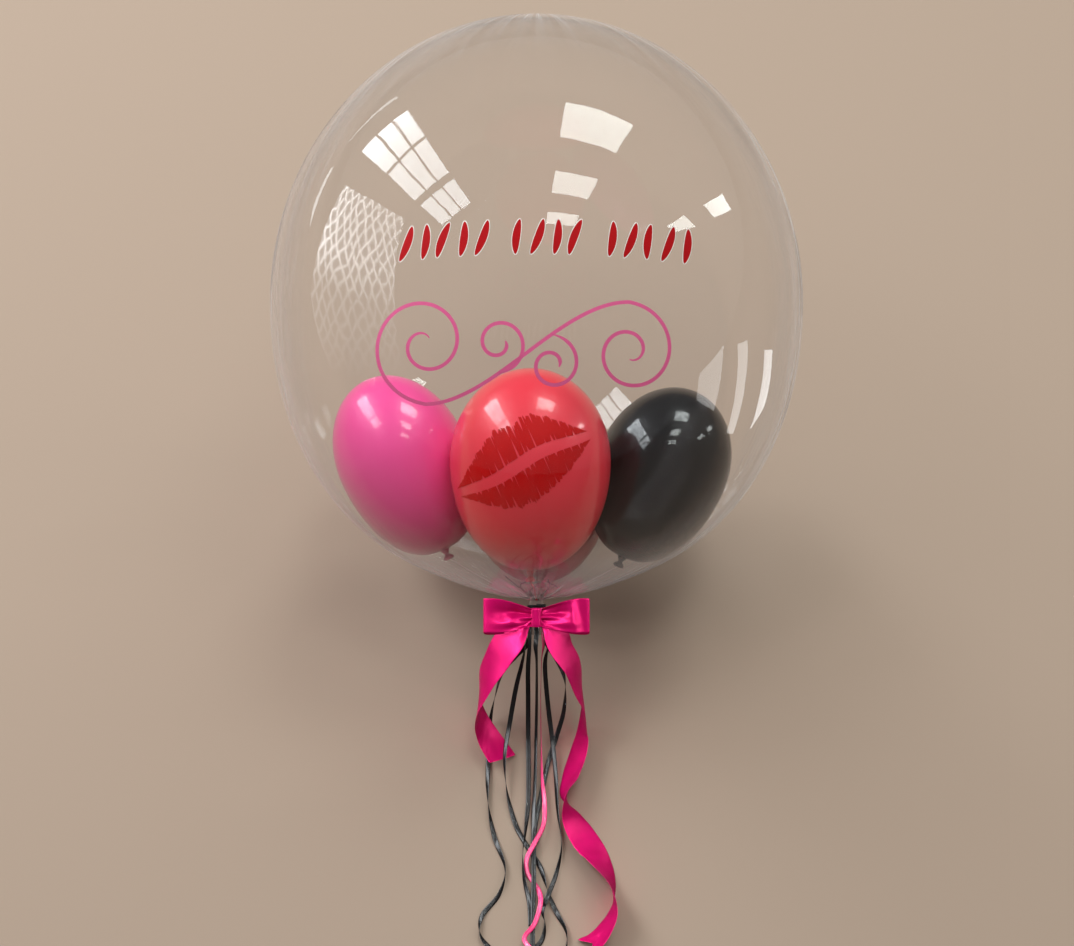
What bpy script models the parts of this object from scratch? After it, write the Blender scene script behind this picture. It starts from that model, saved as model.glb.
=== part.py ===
"""A clear bubble balloon at rest on the ground: envelope, neck tie, satin bow, curling ribbons and tether.

The balloon is modelled upright in its own frame, with the tie at the origin, the crown along +Z and the
viewer on -Y. It is then tipped over until it rests on a small flat patch of its own skin, neck low.
The patch's centre is the origin of the whole model.
"""
import math

import bmesh
import bpy
from mathutils import Matrix, Vector

# Envelope
BUBBLE_RADIUS = 0.2815
CROWN_HEIGHT = 0.3037        # widest ring to the top of the crown
BELLY_DEPTH = 0.3135         # widest ring to where the belly would close
BELLY_FULLNESS = 2.1         # 2 is an ellipse, more is fuller
FLAT_DEPTH = 0.0070          # how far the skin is pressed flat where it rests
BUBBLE_SEGMENTS = 48
CROWN_RINGS = 14
BELLY_RINGS = 13

# Gathered neck
NECK_LENGTH = 0.0055         # the belly's closing point to the middle of the tie
WAIST_RADIUS = 0.0075
FUNNEL_RADIUS = 0.045        # where the belly turns down into the neck
FUNNEL_RINGS = 6
PLEATS = 16
PLEAT_HEIGHT = 0.0016
PLEAT_REACH = 0.110          # radius at which the pleats have died away
NECK_SLOPE = 0.018            # share by which the belly is shallower where it slopes into the neck
NECK_SLOPE_RADIUS = 0.105
NECK_SLOPE_SPREAD = 0.080
STUB_LENGTH = 0.032          # gathered film below the middle of the tie
STUB_RADIUS = 0.0085
STUB_PLEAT = 0.10            # depth of the stub's pleats, as a share of its radius
CLEARANCE = 0.0003

# Tie
TIE_HEIGHT = 0.0064
TIE_THICKNESS = 0.0042
TIE_TURNS = 3
TIE_SEGMENTS = 24

# Satin bow
SATIN_WIDTH = 0.0375
SATIN_THICKNESS = 0.0006
KNOT_WIDTH = 0.0115
KNOT_HEIGHT = 0.0200
KNOT_DEPTH = 0.0100
KNOT_DROP = 0.0135           # middle of the tie to the middle of the knot
LOOP_REACH = 0.0560
LOOP_DEPTH = 0.0150
WRAP_HEIGHT = 0.0120
WRAP_STEPS = 24

# Curling ribbon and tether
CURL_WIDTH = 0.0050
CURL_THICKNESS = 0.0004
STRAND_GAP = 0.0006          # stub to the ribbons that lie along it
STRANDS_ROUND = 8            # places round the stub, one for each ribbon
STRAND_STEP = 0.009          # between stations along a ribbon
END_LOOP_LENGTH = 0.024
END_KNOT_RADIUS = 0.0042

# How it lies
LEAN = math.radians(30)      # how far the neck dips below level
LANDING_DROP = 0.165         # where the falling ribbons meet the ground, below the tie
GROUND_GAP = 0.0006

COLOURS = {
    "clear_film": ((0.93, 0.94, 0.95), 0.05, 0.0),
    "black_elastic": ((0.012, 0.012, 0.013), 0.45, 0.0),
    "pink_satin": ((0.76, 0.0, 0.16), 0.30, 0.0),
    "black_ribbon": ((0.010, 0.010, 0.011), 0.22, 0.0),
    "pink_ribbon": ((0.82, 0.10, 0.25), 0.25, 0.0),
}

# Routes of the ribbons: across, below the tie as seen square to the balloon's axis, height over the line
# along which everything falls, and the turn in degrees, 0 facing the viewer and 90 on edge.
CURL_ROUTES = {
    "curling_ribbon_left": (-3, [
        (-0.011, 0.045, -0.006, 150), (-0.022, 0.056, -0.006, 175), (-0.036, 0.073, -0.004, 225),
        (-0.044, 0.099, -0.006, 262), (-0.050, 0.130, -0.011, 320), (-0.052, 0.171, 0.002, 360),
        (-0.052, 0.210, 0.003, 440), (-0.045, 0.246, 0.002, 525), (-0.033, 0.278, 0.003, 615),
        (-0.039, 0.303, 0.002, 690), (-0.057, 0.324, 0.002, 745), (-0.058, 0.343, 0.003, 830),
        (-0.042, 0.361, 0.002, 900), (-0.026, 0.379, 0.002, 960), (-0.022, 0.404, 0.002, 1020)]),
    "curling_ribbon_inner_left": (-2, [
        (-0.012, 0.045, 0.000, 100), (-0.016, 0.065, 0.002, 135), (-0.022, 0.091, 0.005, 165),
        (-0.029, 0.131, 0.010, 195), (-0.034, 0.163, 0.0142, 225), (-0.033, 0.190, 0.008, 265),
        (-0.029, 0.213, 0.003, 310), (-0.021, 0.238, 0.0015, 352), (-0.007, 0.261, 0.0012, 360),
        (0.004, 0.277, 0.0012, 366), (0.011, 0.298, 0.002, 445), (0.020, 0.319, 0.002, 535),
        (0.031, 0.339, 0.003, 605), (0.030, 0.358, 0.003, 670), (0.017, 0.379, 0.002, 720),
        (0.010, 0.404, 0.002, 780)]),
    "curling_ribbon_middle": (-1, [
        (-0.0075, 0.045, 0.006, 40), (-0.009, 0.068, 0.006, 18), (-0.009, 0.102, 0.005, 6),
        (-0.009, 0.139, 0.004, 0), (-0.0085, 0.183, 0.0035, 0), (-0.009, 0.214, 0.004, -8),
        (-0.012, 0.243, 0.006, -60), (-0.0145, 0.264, 0.0055, -92), (-0.013, 0.288, 0.003, -130),
        (-0.0075, 0.311, 0.0015, -172), (-0.006, 0.334, 0.0012, -180)]),
    "curling_ribbon_inner_right": (2, [
        (0.012, 0.045, 0.000, -80), (0.009, 0.066, 0.002, -25), (0.012, 0.107, 0.007, -10),
        (0.017, 0.149, 0.010, 10), (0.0205, 0.184, 0.006, 30), (0.0225, 0.222, 0.003, 60),
        (0.0265, 0.255, 0.003, 98), (0.021, 0.282, 0.004, 150), (0.0118, 0.304, 0.0072, 180),
        (0.0065, 0.318, 0.0045, 218), (0.009, 0.333, 0.003, 290), (0.005, 0.348, 0.0016, 350),
        (-0.007, 0.361, 0.0012, 362), (-0.015, 0.383, 0.002, 385), (-0.017, 0.404, 0.002, 410)]),
    "curling_ribbon_right": (3, [
        (0.012, 0.045, -0.006, -150), (0.020, 0.057, -0.005, -178), (0.028, 0.074, -0.003, -220),
        (0.031, 0.091, 0.000, -272), (0.029, 0.119, 0.001, -330), (0.022, 0.144, 0.0015, -352),
        (0.013, 0.171, 0.002, -360), (0.006, 0.200, 0.002, -360), (0.000, 0.228, 0.0022, -360),
        (-0.003, 0.250, 0.0034, -360), (-0.003, 0.268, 0.0030, -360)]),
    "pink_curling_ribbon": (1, [
        (0.0075, 0.045, 0.006, -60), (0.0055, 0.060, 0.0055, -85), (0.0045, 0.100, 0.005, -92),
        (0.005, 0.149, 0.006, -100), (0.006, 0.187, 0.0070, -125), (0.0085, 0.212, 0.0068, -165),
        (0.0075, 0.234, 0.0075, -190), (-0.002, 0.252, 0.0100, -180), (-0.010, 0.267, 0.0075, -160),
        (-0.010, 0.281, 0.0030, -170), (-0.003, 0.292, 0.0012, -180), (0.0025, 0.300, 0.0045, -180),
        (0.0042, 0.310, 0.0120, -180), (-0.002, 0.330, 0.0105, -180), (-0.0128, 0.345, 0.0065, -185),
        (-0.002, 0.357, 0.0108, -180), (0.009, 0.364, 0.0060, -180), (0.0045, 0.381, 0.0020, -190)]),
    "tether_ribbon": (0, [
        (-0.001, 0.045, 0.0105, 30), (0.000, 0.062, 0.0090, 62), (0.000, 0.102, 0.0080, 56),
        (-0.001, 0.165, 0.0055, 50), (-0.002, 0.200, 0.0060, 44), (-0.003, 0.219, 0.0065, 30),
        (-0.003, 0.237, 0.0062, 12), (-0.003, 0.250, 0.0060, 0), (-0.003, 0.293, 0.0060, 0),
        (-0.004, 0.335, 0.0060, 0), (-0.004, 0.370, 0.0045, 0)]),
}

# The satin tails, in the same terms
TAIL_ROUTES = {
    "left": [
        (-0.002, 0.012, 0.0150, 5), (-0.013, 0.019, 0.0150, 12), (-0.022, 0.029, 0.0140, 22),
        (-0.033, 0.043, 0.0135, 32), (-0.043, 0.059, 0.0125, 40), (-0.055, 0.081, 0.0105, 58),
        (-0.062, 0.108, 0.0100, 90), (-0.060, 0.128, 0.0120, 115), (-0.051, 0.147, 0.0125, 130),
        (-0.038, 0.166, 0.0125, 135)],
    "right": [
        (0.001, 0.012, 0.0150, -5), (0.010, 0.018, 0.0155, -16), (0.018, 0.027, 0.0145, -32),
        (0.028, 0.047, 0.0135, -48), (0.039, 0.066, 0.0120, -58), (0.046, 0.089, 0.0100, -72),
        (0.051, 0.112, 0.0095, -92), (0.050, 0.138, 0.0090, -106), (0.045, 0.162, 0.0120, -116),
        (0.037, 0.186, 0.0140, -114), (0.0315, 0.206, 0.0150, -98), (0.038, 0.227, 0.0110, -60),
        (0.051, 0.248, 0.0100, -46), (0.065, 0.267, 0.0120, -57), (0.076, 0.288, 0.0150, -76),
        (0.080, 0.306, 0.0165, -92), (0.078, 0.322, 0.0150, -103), (0.070, 0.336, 0.0140, -108),
        (0.060, 0.346, 0.0140, -112), (0.049, 0.352, 0.0140, -113)],
}


def belly_depth_at(radius):
    """Depth of the belly below the widest ring, where it has this radius."""
    share = min(1.0, radius / BUBBLE_RADIUS)
    drawn_in = NECK_SLOPE * math.exp(-((radius - NECK_SLOPE_RADIUS) / NECK_SLOPE_SPREAD) ** 2)
    return BELLY_DEPTH * (1.0 - share ** BELLY_FULLNESS) ** (1.0 / BELLY_FULLNESS) * (1.0 - drawn_in)


def hermite(a, b, slope_a, slope_b, u):
    """A smooth value from a to b, with the two slopes given over the whole span."""
    return ((2 * u**3 - 3 * u**2 + 1) * a + (u**3 - 2 * u**2 + u) * slope_a
            + (3 * u**2 - 2 * u**3) * b + (u**3 - u**2) * slope_b)


def skin_profile(crown_rings, belly_rings, funnel_rings):
    """The envelope's half outline from crown to waist, as (radius, height over the tie)."""
    ring_height = BELLY_DEPTH + NECK_LENGTH
    points = []
    for i in range(1, crown_rings + 1):
        angle = math.pi / 2 * i / crown_rings
        points.append((BUBBLE_RADIUS * math.sin(angle), ring_height + CROWN_HEIGHT * math.cos(angle)))
    funnel_share = FUNNEL_RADIUS / BUBBLE_RADIUS
    for i in range(1, belly_rings + 1):
        angle = math.acos(funnel_share) * i / belly_rings
        radius = BUBBLE_RADIUS * math.cos(angle)
        points.append((radius, ring_height - belly_depth_at(radius)))
    funnel_top = points[-1][1]
    waist_top = TIE_HEIGHT / 2
    for i in range(1, funnel_rings + 1):
        u = i / funnel_rings
        radius = hermite(FUNNEL_RADIUS, WAIST_RADIUS, -1.6 * (FUNNEL_RADIUS - WAIST_RADIUS), 0.0, u)
        height = hermite(funnel_top, waist_top, -2.0 * (funnel_top - waist_top),
                         -1.5 * (funnel_top - waist_top), u)
        points.append((radius, height))
    return points


def resting_place():
    """Where the tie sits over the ground: (y, z) of the tie when the pressed skin touches z = 0."""
    outline = skin_profile(180, 180, 12)
    depths = [math.cos(LEAN) * r - math.sin(LEAN) * z for r, z in outline]
    tie_z = max(depths) - FLAT_DEPTH
    pressed = [(r, z) for (r, z), depth in zip(outline, depths) if depth >= tie_z]
    ends = [math.sin(LEAN) * r + math.cos(LEAN) * z for r, z in (pressed[0], pressed[-1])]
    return -sum(ends) / 2, tie_z


TIE_Y, TIE_Z = resting_place()


def place(across, drop, toward):
    """World point at a distance across, below the tie along the axis, and toward the viewer."""
    return Vector((
        across,
        TIE_Y - drop * math.cos(LEAN) - toward * math.sin(LEAN),
        TIE_Z - drop * math.sin(LEAN) + toward * math.cos(LEAN)))


def fall_height(drop):
    """Height over the ground of the line along which tails and ribbons fall from the stub."""
    stub_end_height = TIE_Z - STUB_LENGTH * math.sin(LEAN)
    if drop <= STUB_LENGTH:
        return TIE_Z - drop * math.sin(LEAN)
    if drop >= LANDING_DROP:
        return 0.0
    span = LANDING_DROP - STUB_LENGTH
    u = (drop - STUB_LENGTH) / span
    return hermite(stub_end_height, 0.0, -math.sin(LEAN) * span, 0.0, u)


def on_fall(across, drop, lift):
    """World point over the fall line, as seen at that place square to the balloon's axis."""
    height = fall_height(drop) + lift
    toward = (height - TIE_Z + drop * math.sin(LEAN)) / math.cos(LEAN)
    return place(across, drop, toward)


def smooth_route(points, spacing):
    """Points of a Catmull-Rom curve through the route, about this far apart, each with its turn."""
    rows = [tuple(points[0])] + [tuple(p) for p in points] + [tuple(points[-1])]
    dense = []
    for a, b, c, d in zip(rows, rows[1:], rows[2:], rows[3:]):
        for step in range(24):
            u = step / 24
            dense.append(tuple(
                0.5 * (2 * q + (r - p) * u + (2 * p - 5 * q + 4 * r - s) * u**2
                       + (3 * q - p - 3 * r + s) * u**3)
                for p, q, r, s in zip(a, b, c, d)))
    dense.append(rows[-1])
    spots = [on_fall(*row[:3]) for row in dense]
    lengths = [0.0]
    for p, q in zip(spots, spots[1:]):
        lengths.append(lengths[-1] + (q - p).length)
    count = max(2, round(lengths[-1] / spacing))
    route, k = [], 0
    for i in range(count + 1):
        target = lengths[-1] * i / count
        while k < len(lengths) - 2 and lengths[k + 1] < target:
            k += 1
        u = (target - lengths[k]) / max(1e-9, lengths[k + 1] - lengths[k])
        route.append((spots[k].lerp(spots[k + 1], u), dense[k][3] + (dense[k + 1][3] - dense[k][3]) * u))
    return route


def width_direction(tangent, turn):
    """Unit vector across a ribbon that has turned by this angle from facing the viewer."""
    viewer = Vector((0.0, -math.sin(LEAN), math.cos(LEAN)))
    side = tangent.cross(viewer).normalized()
    front = side.cross(tangent).normalized()
    if side.x < 0:
        side = -side
    return math.cos(math.radians(turn)) * side + math.sin(math.radians(turn)) * front


def lift_edges(route, half_width):
    """Raises a route where a ribbon turned on edge would dip into the ground. Adds width directions."""
    spots = [spot.copy() for spot, _ in route]
    frames = []
    for i, (_, turn) in enumerate(route):
        tangent = (spots[min(i + 1, len(spots) - 1)] - spots[max(i - 1, 0)]).normalized()
        frames.append((tangent, width_direction(tangent, turn)))
    for spot, (_, across) in zip(spots, frames):
        spot.z = max(spot.z, half_width * abs(across.z) + GROUND_GAP)
    return [(spot, tangent, across) for spot, (tangent, across) in zip(spots, frames)]


def material(name):
    """A plain material with the colour, roughness and metallic value of one finish."""
    found = bpy.data.materials.get(name)
    if found:
        return found
    colour, roughness, metallic = COLOURS[name]
    made = bpy.data.materials.new(name)
    made.use_nodes = True
    shader = made.node_tree.nodes["Principled BSDF"]
    shader.inputs["Base Color"].default_value = (*colour, 1.0)
    shader.inputs["Roughness"].default_value = roughness
    shader.inputs["Metallic"].default_value = metallic
    return made


def object_from_bmesh(name, bm, finish, parent=None):
    """Turns a bmesh into a named object with one material."""
    bmesh.ops.recalc_face_normals(bm, faces=bm.faces)
    mesh = bpy.data.meshes.new(name)
    bm.to_mesh(mesh)
    bm.free()
    mesh.materials.append(material(finish))
    mesh.shade_smooth()
    made = bpy.data.objects.new(name, mesh)
    bpy.context.scene.collection.objects.link(made)
    made.parent = parent
    return made


def turned_body(bm, outline, segments, ripple=None):
    """Spins an outline of (radius, height) into rings of vertices round Z, and joins them with faces."""
    rings = []
    for radius, height in outline:
        ring = []
        for k in range(segments):
            angle = 2 * math.pi * k / segments
            extra_radius, extra_height = ripple(radius, height, angle) if ripple else (0.0, 0.0)
            reach = radius + extra_radius
            ring.append(bm.verts.new((reach * math.cos(angle), reach * math.sin(angle),
                                      height + extra_height)))
        rings.append(ring)
    for upper, lower in zip(rings, rings[1:]):
        for k in range(segments):
            j = (k + 1) % segments
            bm.faces.new((upper[k], upper[j], lower[j], lower[k]))
    return rings


def fan_cap(bm, ring, tip):
    """Closes a ring with a fan of triangles to one point."""
    centre = bm.verts.new(tip)
    for k, vert in enumerate(ring):
        bm.faces.new((vert, ring[(k + 1) % len(ring)], centre))


def pleat_ripple(radius, height, angle):
    """How far the film's pleats push the skin out, along the axis on the funnel and outward on the stub."""
    wave = math.cos(PLEATS * angle)
    if height < -TIE_HEIGHT / 2:
        share = min(1.0, (-height - TIE_HEIGHT / 2) / (STUB_LENGTH / 3))
        return STUB_PLEAT * radius * share * wave, 0.0
    if radius >= PLEAT_REACH or radius <= WAIST_RADIUS or height > BELLY_DEPTH:
        return 0.0, 0.0
    u = (PLEAT_REACH - radius) / (PLEAT_REACH - WAIST_RADIUS)
    return 0.0, PLEAT_HEIGHT * 4 * u**2 * (1 - u) * wave


def make_bubble(parent):
    """The clear envelope with its gathered neck and stub, pressed flat where it rests."""
    outline = skin_profile(CROWN_RINGS, BELLY_RINGS, FUNNEL_RINGS)
    outline.append((WAIST_RADIUS, -TIE_HEIGHT / 2))
    for i in range(1, 5):
        u = i / 4
        radius = hermite(WAIST_RADIUS, STUB_RADIUS, 0.0, 0.0, u)
        outline.append((radius, -TIE_HEIGHT / 2 - (STUB_LENGTH - TIE_HEIGHT / 2) * u))
    bm = bmesh.new()
    rings = turned_body(bm, outline, BUBBLE_SEGMENTS, pleat_ripple)
    fan_cap(bm, rings[0], (0, 0, BELLY_DEPTH + NECK_LENGTH + CROWN_HEIGHT))
    fan_cap(bm, rings[-1], (0, 0, -STUB_LENGTH + STUB_RADIUS / 3))
    down = Vector((0.0, math.cos(LEAN), -math.sin(LEAN)))
    cut = bmesh.ops.bisect_plane(bm, geom=bm.verts[:] + bm.edges[:] + bm.faces[:], dist=1e-7,
                                 plane_co=down * TIE_Z, plane_no=down, clear_outer=True)
    rim = [e for e in cut["geom_cut"] if isinstance(e, bmesh.types.BMEdge)]
    bmesh.ops.contextual_create(bm, geom=rim)
    return object_from_bmesh("bubble", bm, "clear_film", parent)


def make_tie(parent):
    """The black tie, wound a few turns round the waist."""
    inner = (WAIST_RADIUS + CLEARANCE) / math.cos(math.pi / TIE_SEGMENTS)
    half = TIE_HEIGHT / 2 - CLEARANCE
    outline = [(inner, half)]
    steps = 3
    for turn in range(TIE_TURNS):
        for i in range(steps + 1):
            if i == 0 and turn:
                continue
            u = (turn + i / steps) / TIE_TURNS
            bulge = math.sin(math.pi * i / steps)
            outline.append((inner + TIE_THICKNESS * (0.72 + 0.28 * bulge), half * (1 - 2 * u)))
    outline.append((inner, -half))
    bm = bmesh.new()
    rings = turned_body(bm, outline, TIE_SEGMENTS)
    for k in range(TIE_SEGMENTS):
        j = (k + 1) % TIE_SEGMENTS
        bm.faces.new((rings[-1][k], rings[-1][j], rings[0][j], rings[0][k]))
    return object_from_bmesh("neck_tie", bm, "black_elastic", parent)


def slab(bm, stations, thickness, closed=False):
    """A flat band through stations of (centre, tangent, width vector from centre to edge).

    Its front and back are split along the same diagonals, so that a twisted band keeps its thickness.
    """
    rows = []
    for centre, tangent, half in stations:
        lift = half.cross(tangent).normalized() * (thickness / 2)
        rows.append([bm.verts.new(centre + half + lift), bm.verts.new(centre - half + lift),
                     bm.verts.new(centre - half - lift), bm.verts.new(centre + half - lift)])
    pairs = list(zip(rows, rows[1:]))
    if closed:
        pairs.append((rows[-1], rows[0]))
    for a, b in pairs:
        for k in range(4):
            j = (k + 1) % 4
            if k < 2:
                bm.faces.new((a[k], a[j], b[j]))
                bm.faces.new((a[k], b[j], b[k]))
            else:
                bm.faces.new((a[k], a[j], b[k]))
                bm.faces.new((a[j], b[j], b[k]))
    if not closed:
        bm.faces.new(rows[0])
        bm.faces.new(rows[-1])


def loop_stations(side):
    """Stations round one loop of the bow: out along the front, round the end and back behind."""
    knot_toward = wrap_radius() + SATIN_THICKNESS + KNOT_DEPTH / 2
    front, back = LOOP_DEPTH / 2, -LOOP_DEPTH / 2
    steps = 22
    stations = []
    for i in range(steps + 1):
        angle = 2 * math.pi * i / steps
        reach = LOOP_REACH / 2 * (1 - math.cos(angle))
        swell = math.sin(angle) * (0.35 + 0.65 * math.sin(angle / 2) ** 2)
        toward = knot_toward + (front if swell > 0 else -back) * swell
        stations.append((reach, toward))
    out = []
    for i in range(steps):
        reach, toward = stations[i]
        share = min(1.0, reach / (LOOP_REACH * 0.9))
        half = hermite(KNOT_HEIGHT * 0.36, SATIN_WIDTH / 2, KNOT_HEIGHT * 0.1, 0.0, share)
        drop = KNOT_DROP - 0.0025 * share
        ahead, behind = stations[(i + 1) % steps], stations[i - 1]
        tangent = (place(side * ahead[0], 0, ahead[1]) - place(side * behind[0], 0, behind[1])).normalized()
        half_vector = (place(0, 0, 0) - place(0, 1, 0)).normalized() * half
        out.append((place(side * reach, drop, toward), tangent, half_vector))
    return out


def wrap_radius():
    """Inside radius of the satin where it goes round the stub and the ribbons that lie along it."""
    strand_outside = STUB_RADIUS * (1 + STUB_PLEAT) + STRAND_GAP + CURL_THICKNESS
    strand_edge = math.hypot(strand_outside, CURL_WIDTH / 2)
    return (strand_edge + CLEARANCE) / math.cos(math.pi / WRAP_STEPS)


def make_wrap(bm):
    """The satin's turn round the stub, behind the knot."""
    stations = []
    radius = wrap_radius() + SATIN_THICKNESS
    for i in range(WRAP_STEPS):
        angle = 2 * math.pi * i / WRAP_STEPS
        centre = place(radius * math.sin(angle), KNOT_DROP, radius * math.cos(angle))
        tangent = place(math.cos(angle), 0, -math.sin(angle)) - place(0, 0, 0)
        up = (place(0, 0, 0) - place(0, 1, 0)) * (WRAP_HEIGHT / 2)
        stations.append((centre, tangent, up))
    slab(bm, stations, 2 * SATIN_THICKNESS, closed=True)


def make_knot(bm):
    """The knot's crossing turn: a soft block, a little narrower at its middle."""
    rings, across_steps, drop_steps = [], 14, 6
    middle = wrap_radius() + SATIN_THICKNESS + KNOT_DEPTH / 2
    for j in range(drop_steps + 1):
        v = -1 + 2 * j / drop_steps
        squeeze = (1 - abs(v) ** 6 * 0.25) * (0.90 + 0.10 * v * v)
        ring = []
        for k in range(across_steps):
            angle = 2 * math.pi * k / across_steps
            c, s = math.cos(angle), math.sin(angle)
            x = math.copysign(abs(c) ** 0.6, c) * KNOT_WIDTH / 2 * squeeze
            t = math.copysign(abs(s) ** 0.6, s) * KNOT_DEPTH / 2 * squeeze
            ring.append(bm.verts.new(place(x, KNOT_DROP + v * KNOT_HEIGHT / 2, middle + t)))
        rings.append(ring)
    for a, b in zip(rings, rings[1:]):
        for k in range(across_steps):
            j = (k + 1) % across_steps
            bm.faces.new((a[k], a[j], b[j], b[k]))
    bm.faces.new(rings[0])
    bm.faces.new(rings[-1])


def make_tail(bm, route):
    """One satin tail, from inside the knot to its cut end."""
    shaped = lift_edges(smooth_route(route, SATIN_WIDTH / 5), SATIN_WIDTH / 2)
    stations = []
    travelled = 0.0
    for i, (spot, tangent, across) in enumerate(shaped):
        if i:
            travelled += (spot - shaped[i - 1][0]).length
        open_share = min(1.0, travelled / (SATIN_WIDTH * 1.1))
        half = hermite(KNOT_WIDTH * 0.32, SATIN_WIDTH / 2, 0.0, 0.0, open_share)
        stations.append((spot, tangent, across * half))
    slab(bm, stations, SATIN_THICKNESS)


def make_bow():
    """The whole satin bow as one solid: knot, wrap, two loops and two tails."""
    knot_bm = bmesh.new()
    make_knot(knot_bm)
    bow = object_from_bmesh("satin_bow", knot_bm, "pink_satin")
    builders = {
        "wrap_tool": make_wrap,
        "left_loop_tool": lambda bm: slab(bm, loop_stations(-1), SATIN_THICKNESS, closed=True),
        "right_loop_tool": lambda bm: slab(bm, loop_stations(1), SATIN_THICKNESS, closed=True),
        "left_tail_tool": lambda bm: make_tail(bm, TAIL_ROUTES["left"]),
        "right_tail_tool": lambda bm: make_tail(bm, TAIL_ROUTES["right"]),
    }
    for name, build in builders.items():
        bm = bmesh.new()
        build(bm)
        tool = object_from_bmesh(name, bm, "pink_satin")
        tool.hide_render = True
        tool.display_type = "WIRE"
        union = bow.modifiers.new(name, "BOOLEAN")
        union.operation = "UNION"
        union.solver = "EXACT"
        union.object = tool
    return bow


def strand_route(seat, points):
    """A ribbon's whole route: along the stub from the tie, then its own way down."""
    angle = 2 * math.pi * seat / STRANDS_ROUND
    radius = STUB_RADIUS * (1 + STUB_PLEAT) + STRAND_GAP + CURL_THICKNESS / 2
    turn = -math.degrees(angle)
    turn += 180 * round((points[0][3] - turn) / 180)
    start = []
    for drop in (TIE_HEIGHT / 2 + CLEARANCE, STUB_LENGTH / 2, STUB_LENGTH):
        start.append((radius * math.sin(angle), drop, radius * math.cos(angle) * math.cos(LEAN), turn))
    return start + points


def make_strand(name, seat, points, finish):
    """One curling ribbon or the tether, as a flat band along its route."""
    shaped = lift_edges(smooth_route(strand_route(seat, points), STRAND_STEP), CURL_WIDTH / 2)
    bm = bmesh.new()
    slab(bm, [(spot, tangent, across * CURL_WIDTH / 2) for spot, tangent, across in shaped], CURL_THICKNESS)
    object_from_bmesh(name, bm, finish)
    return shaped[-1]


def make_end_loop(spot, tangent):
    """The knotted finger loop at the tether's far end, lying on the ground."""
    along = Vector((tangent.x, tangent.y, 0.0)).normalized()
    side = Vector((-along.y, along.x, 0.0))
    centre = Vector((spot.x, spot.y, END_KNOT_RADIUS + GROUND_GAP))
    centre += along * (END_KNOT_RADIUS + CLEARANCE)
    bm = bmesh.new()
    bmesh.ops.create_icosphere(bm, subdivisions=2, radius=END_KNOT_RADIUS,
                               matrix=Matrix.Translation(centre))
    knot = object_from_bmesh("tether_loop", bm, "black_ribbon")
    steps = 24
    stations = []
    for i in range(steps):
        angle = 2 * math.pi * i / steps
        forward = END_LOOP_LENGTH / 2 * (1 - math.cos(angle))
        bow_out = END_LOOP_LENGTH * 0.36 * math.sin(angle) * math.sin(angle / 2)
        stations.append(centre + along * forward + side * bow_out)
    loop_bm = bmesh.new()
    up = Vector((0.0, 0.0, CURL_WIDTH / 2))
    banded = []
    for i, point in enumerate(stations):
        ahead, behind = stations[(i + 1) % steps], stations[i - 1]
        banded.append((point, (ahead - behind).normalized(), up))
    slab(loop_bm, banded, CURL_THICKNESS, closed=True)
    loop = object_from_bmesh("tether_loop_tool", loop_bm, "black_ribbon")
    loop.hide_render = True
    loop.display_type = "WIRE"
    union = knot.modifiers.new("loop", "BOOLEAN")
    union.operation = "UNION"
    union.solver = "EXACT"
    union.object = loop
    return knot


def main():
    for old in list(bpy.data.objects):
        bpy.data.objects.remove(old)
    leaning = bpy.data.objects.new("leaning_frame", None)
    bpy.context.scene.collection.objects.link(leaning)
    leaning.location = (0.0, TIE_Y, TIE_Z)
    leaning.rotation_euler = (LEAN - math.pi / 2, 0.0, 0.0)
    make_bubble(leaning)
    make_tie(leaning)
    make_bow()
    for name, (seat, points) in CURL_ROUTES.items():
        finish = "pink_ribbon" if name.startswith("pink") else "black_ribbon"
        end = make_strand(name, seat, points, finish)
        if name == "tether_ribbon":
            make_end_loop(end[0], end[1])


main()
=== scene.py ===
# %% [markdown]
# A clear bubble balloon with four small balloons inside it, a satin bow and curling ribbons. This
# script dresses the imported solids. Each piece is first built upright, the way a balloon floats, and
# is then tipped over with one matrix, because without its gas the balloon lies on the ground.

import math

import bmesh
import bpy
from mathutils import Matrix, Vector, noise


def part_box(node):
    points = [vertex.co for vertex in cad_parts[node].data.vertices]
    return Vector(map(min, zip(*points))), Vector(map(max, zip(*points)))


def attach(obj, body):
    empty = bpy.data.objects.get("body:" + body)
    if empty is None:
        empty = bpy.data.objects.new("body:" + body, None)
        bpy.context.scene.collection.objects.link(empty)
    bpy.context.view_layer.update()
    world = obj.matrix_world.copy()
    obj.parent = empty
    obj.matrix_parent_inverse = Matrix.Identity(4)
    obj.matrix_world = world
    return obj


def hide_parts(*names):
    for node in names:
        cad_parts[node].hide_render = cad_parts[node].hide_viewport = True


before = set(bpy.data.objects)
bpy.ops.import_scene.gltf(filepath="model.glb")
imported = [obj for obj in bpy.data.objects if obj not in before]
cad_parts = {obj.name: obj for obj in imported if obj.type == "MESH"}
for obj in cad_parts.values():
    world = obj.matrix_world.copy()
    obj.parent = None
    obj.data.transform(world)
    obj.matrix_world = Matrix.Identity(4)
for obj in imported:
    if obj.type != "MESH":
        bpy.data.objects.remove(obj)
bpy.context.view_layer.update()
print("solids loaded:", len(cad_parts))

# %% [markdown]
# The balloon's own frame has the tie at its origin, the crown along Z and the viewer on -Y. The tie's
# solid says where that origin is on the ground, and the bubble's solid says how wide the film is.

# %% The balloon's own frame
LEAN = math.radians(30)              # how far the neck dips below level
TIE = (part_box("neck_tie")[0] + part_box("neck_tie")[1]) / 2
UPRIGHT = Matrix.Translation(TIE) @ Matrix.Rotation(LEAN - math.pi / 2, 4, "X")
BUBBLE_RADIUS = (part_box("bubble")[1].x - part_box("bubble")[0].x) / 2


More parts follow.
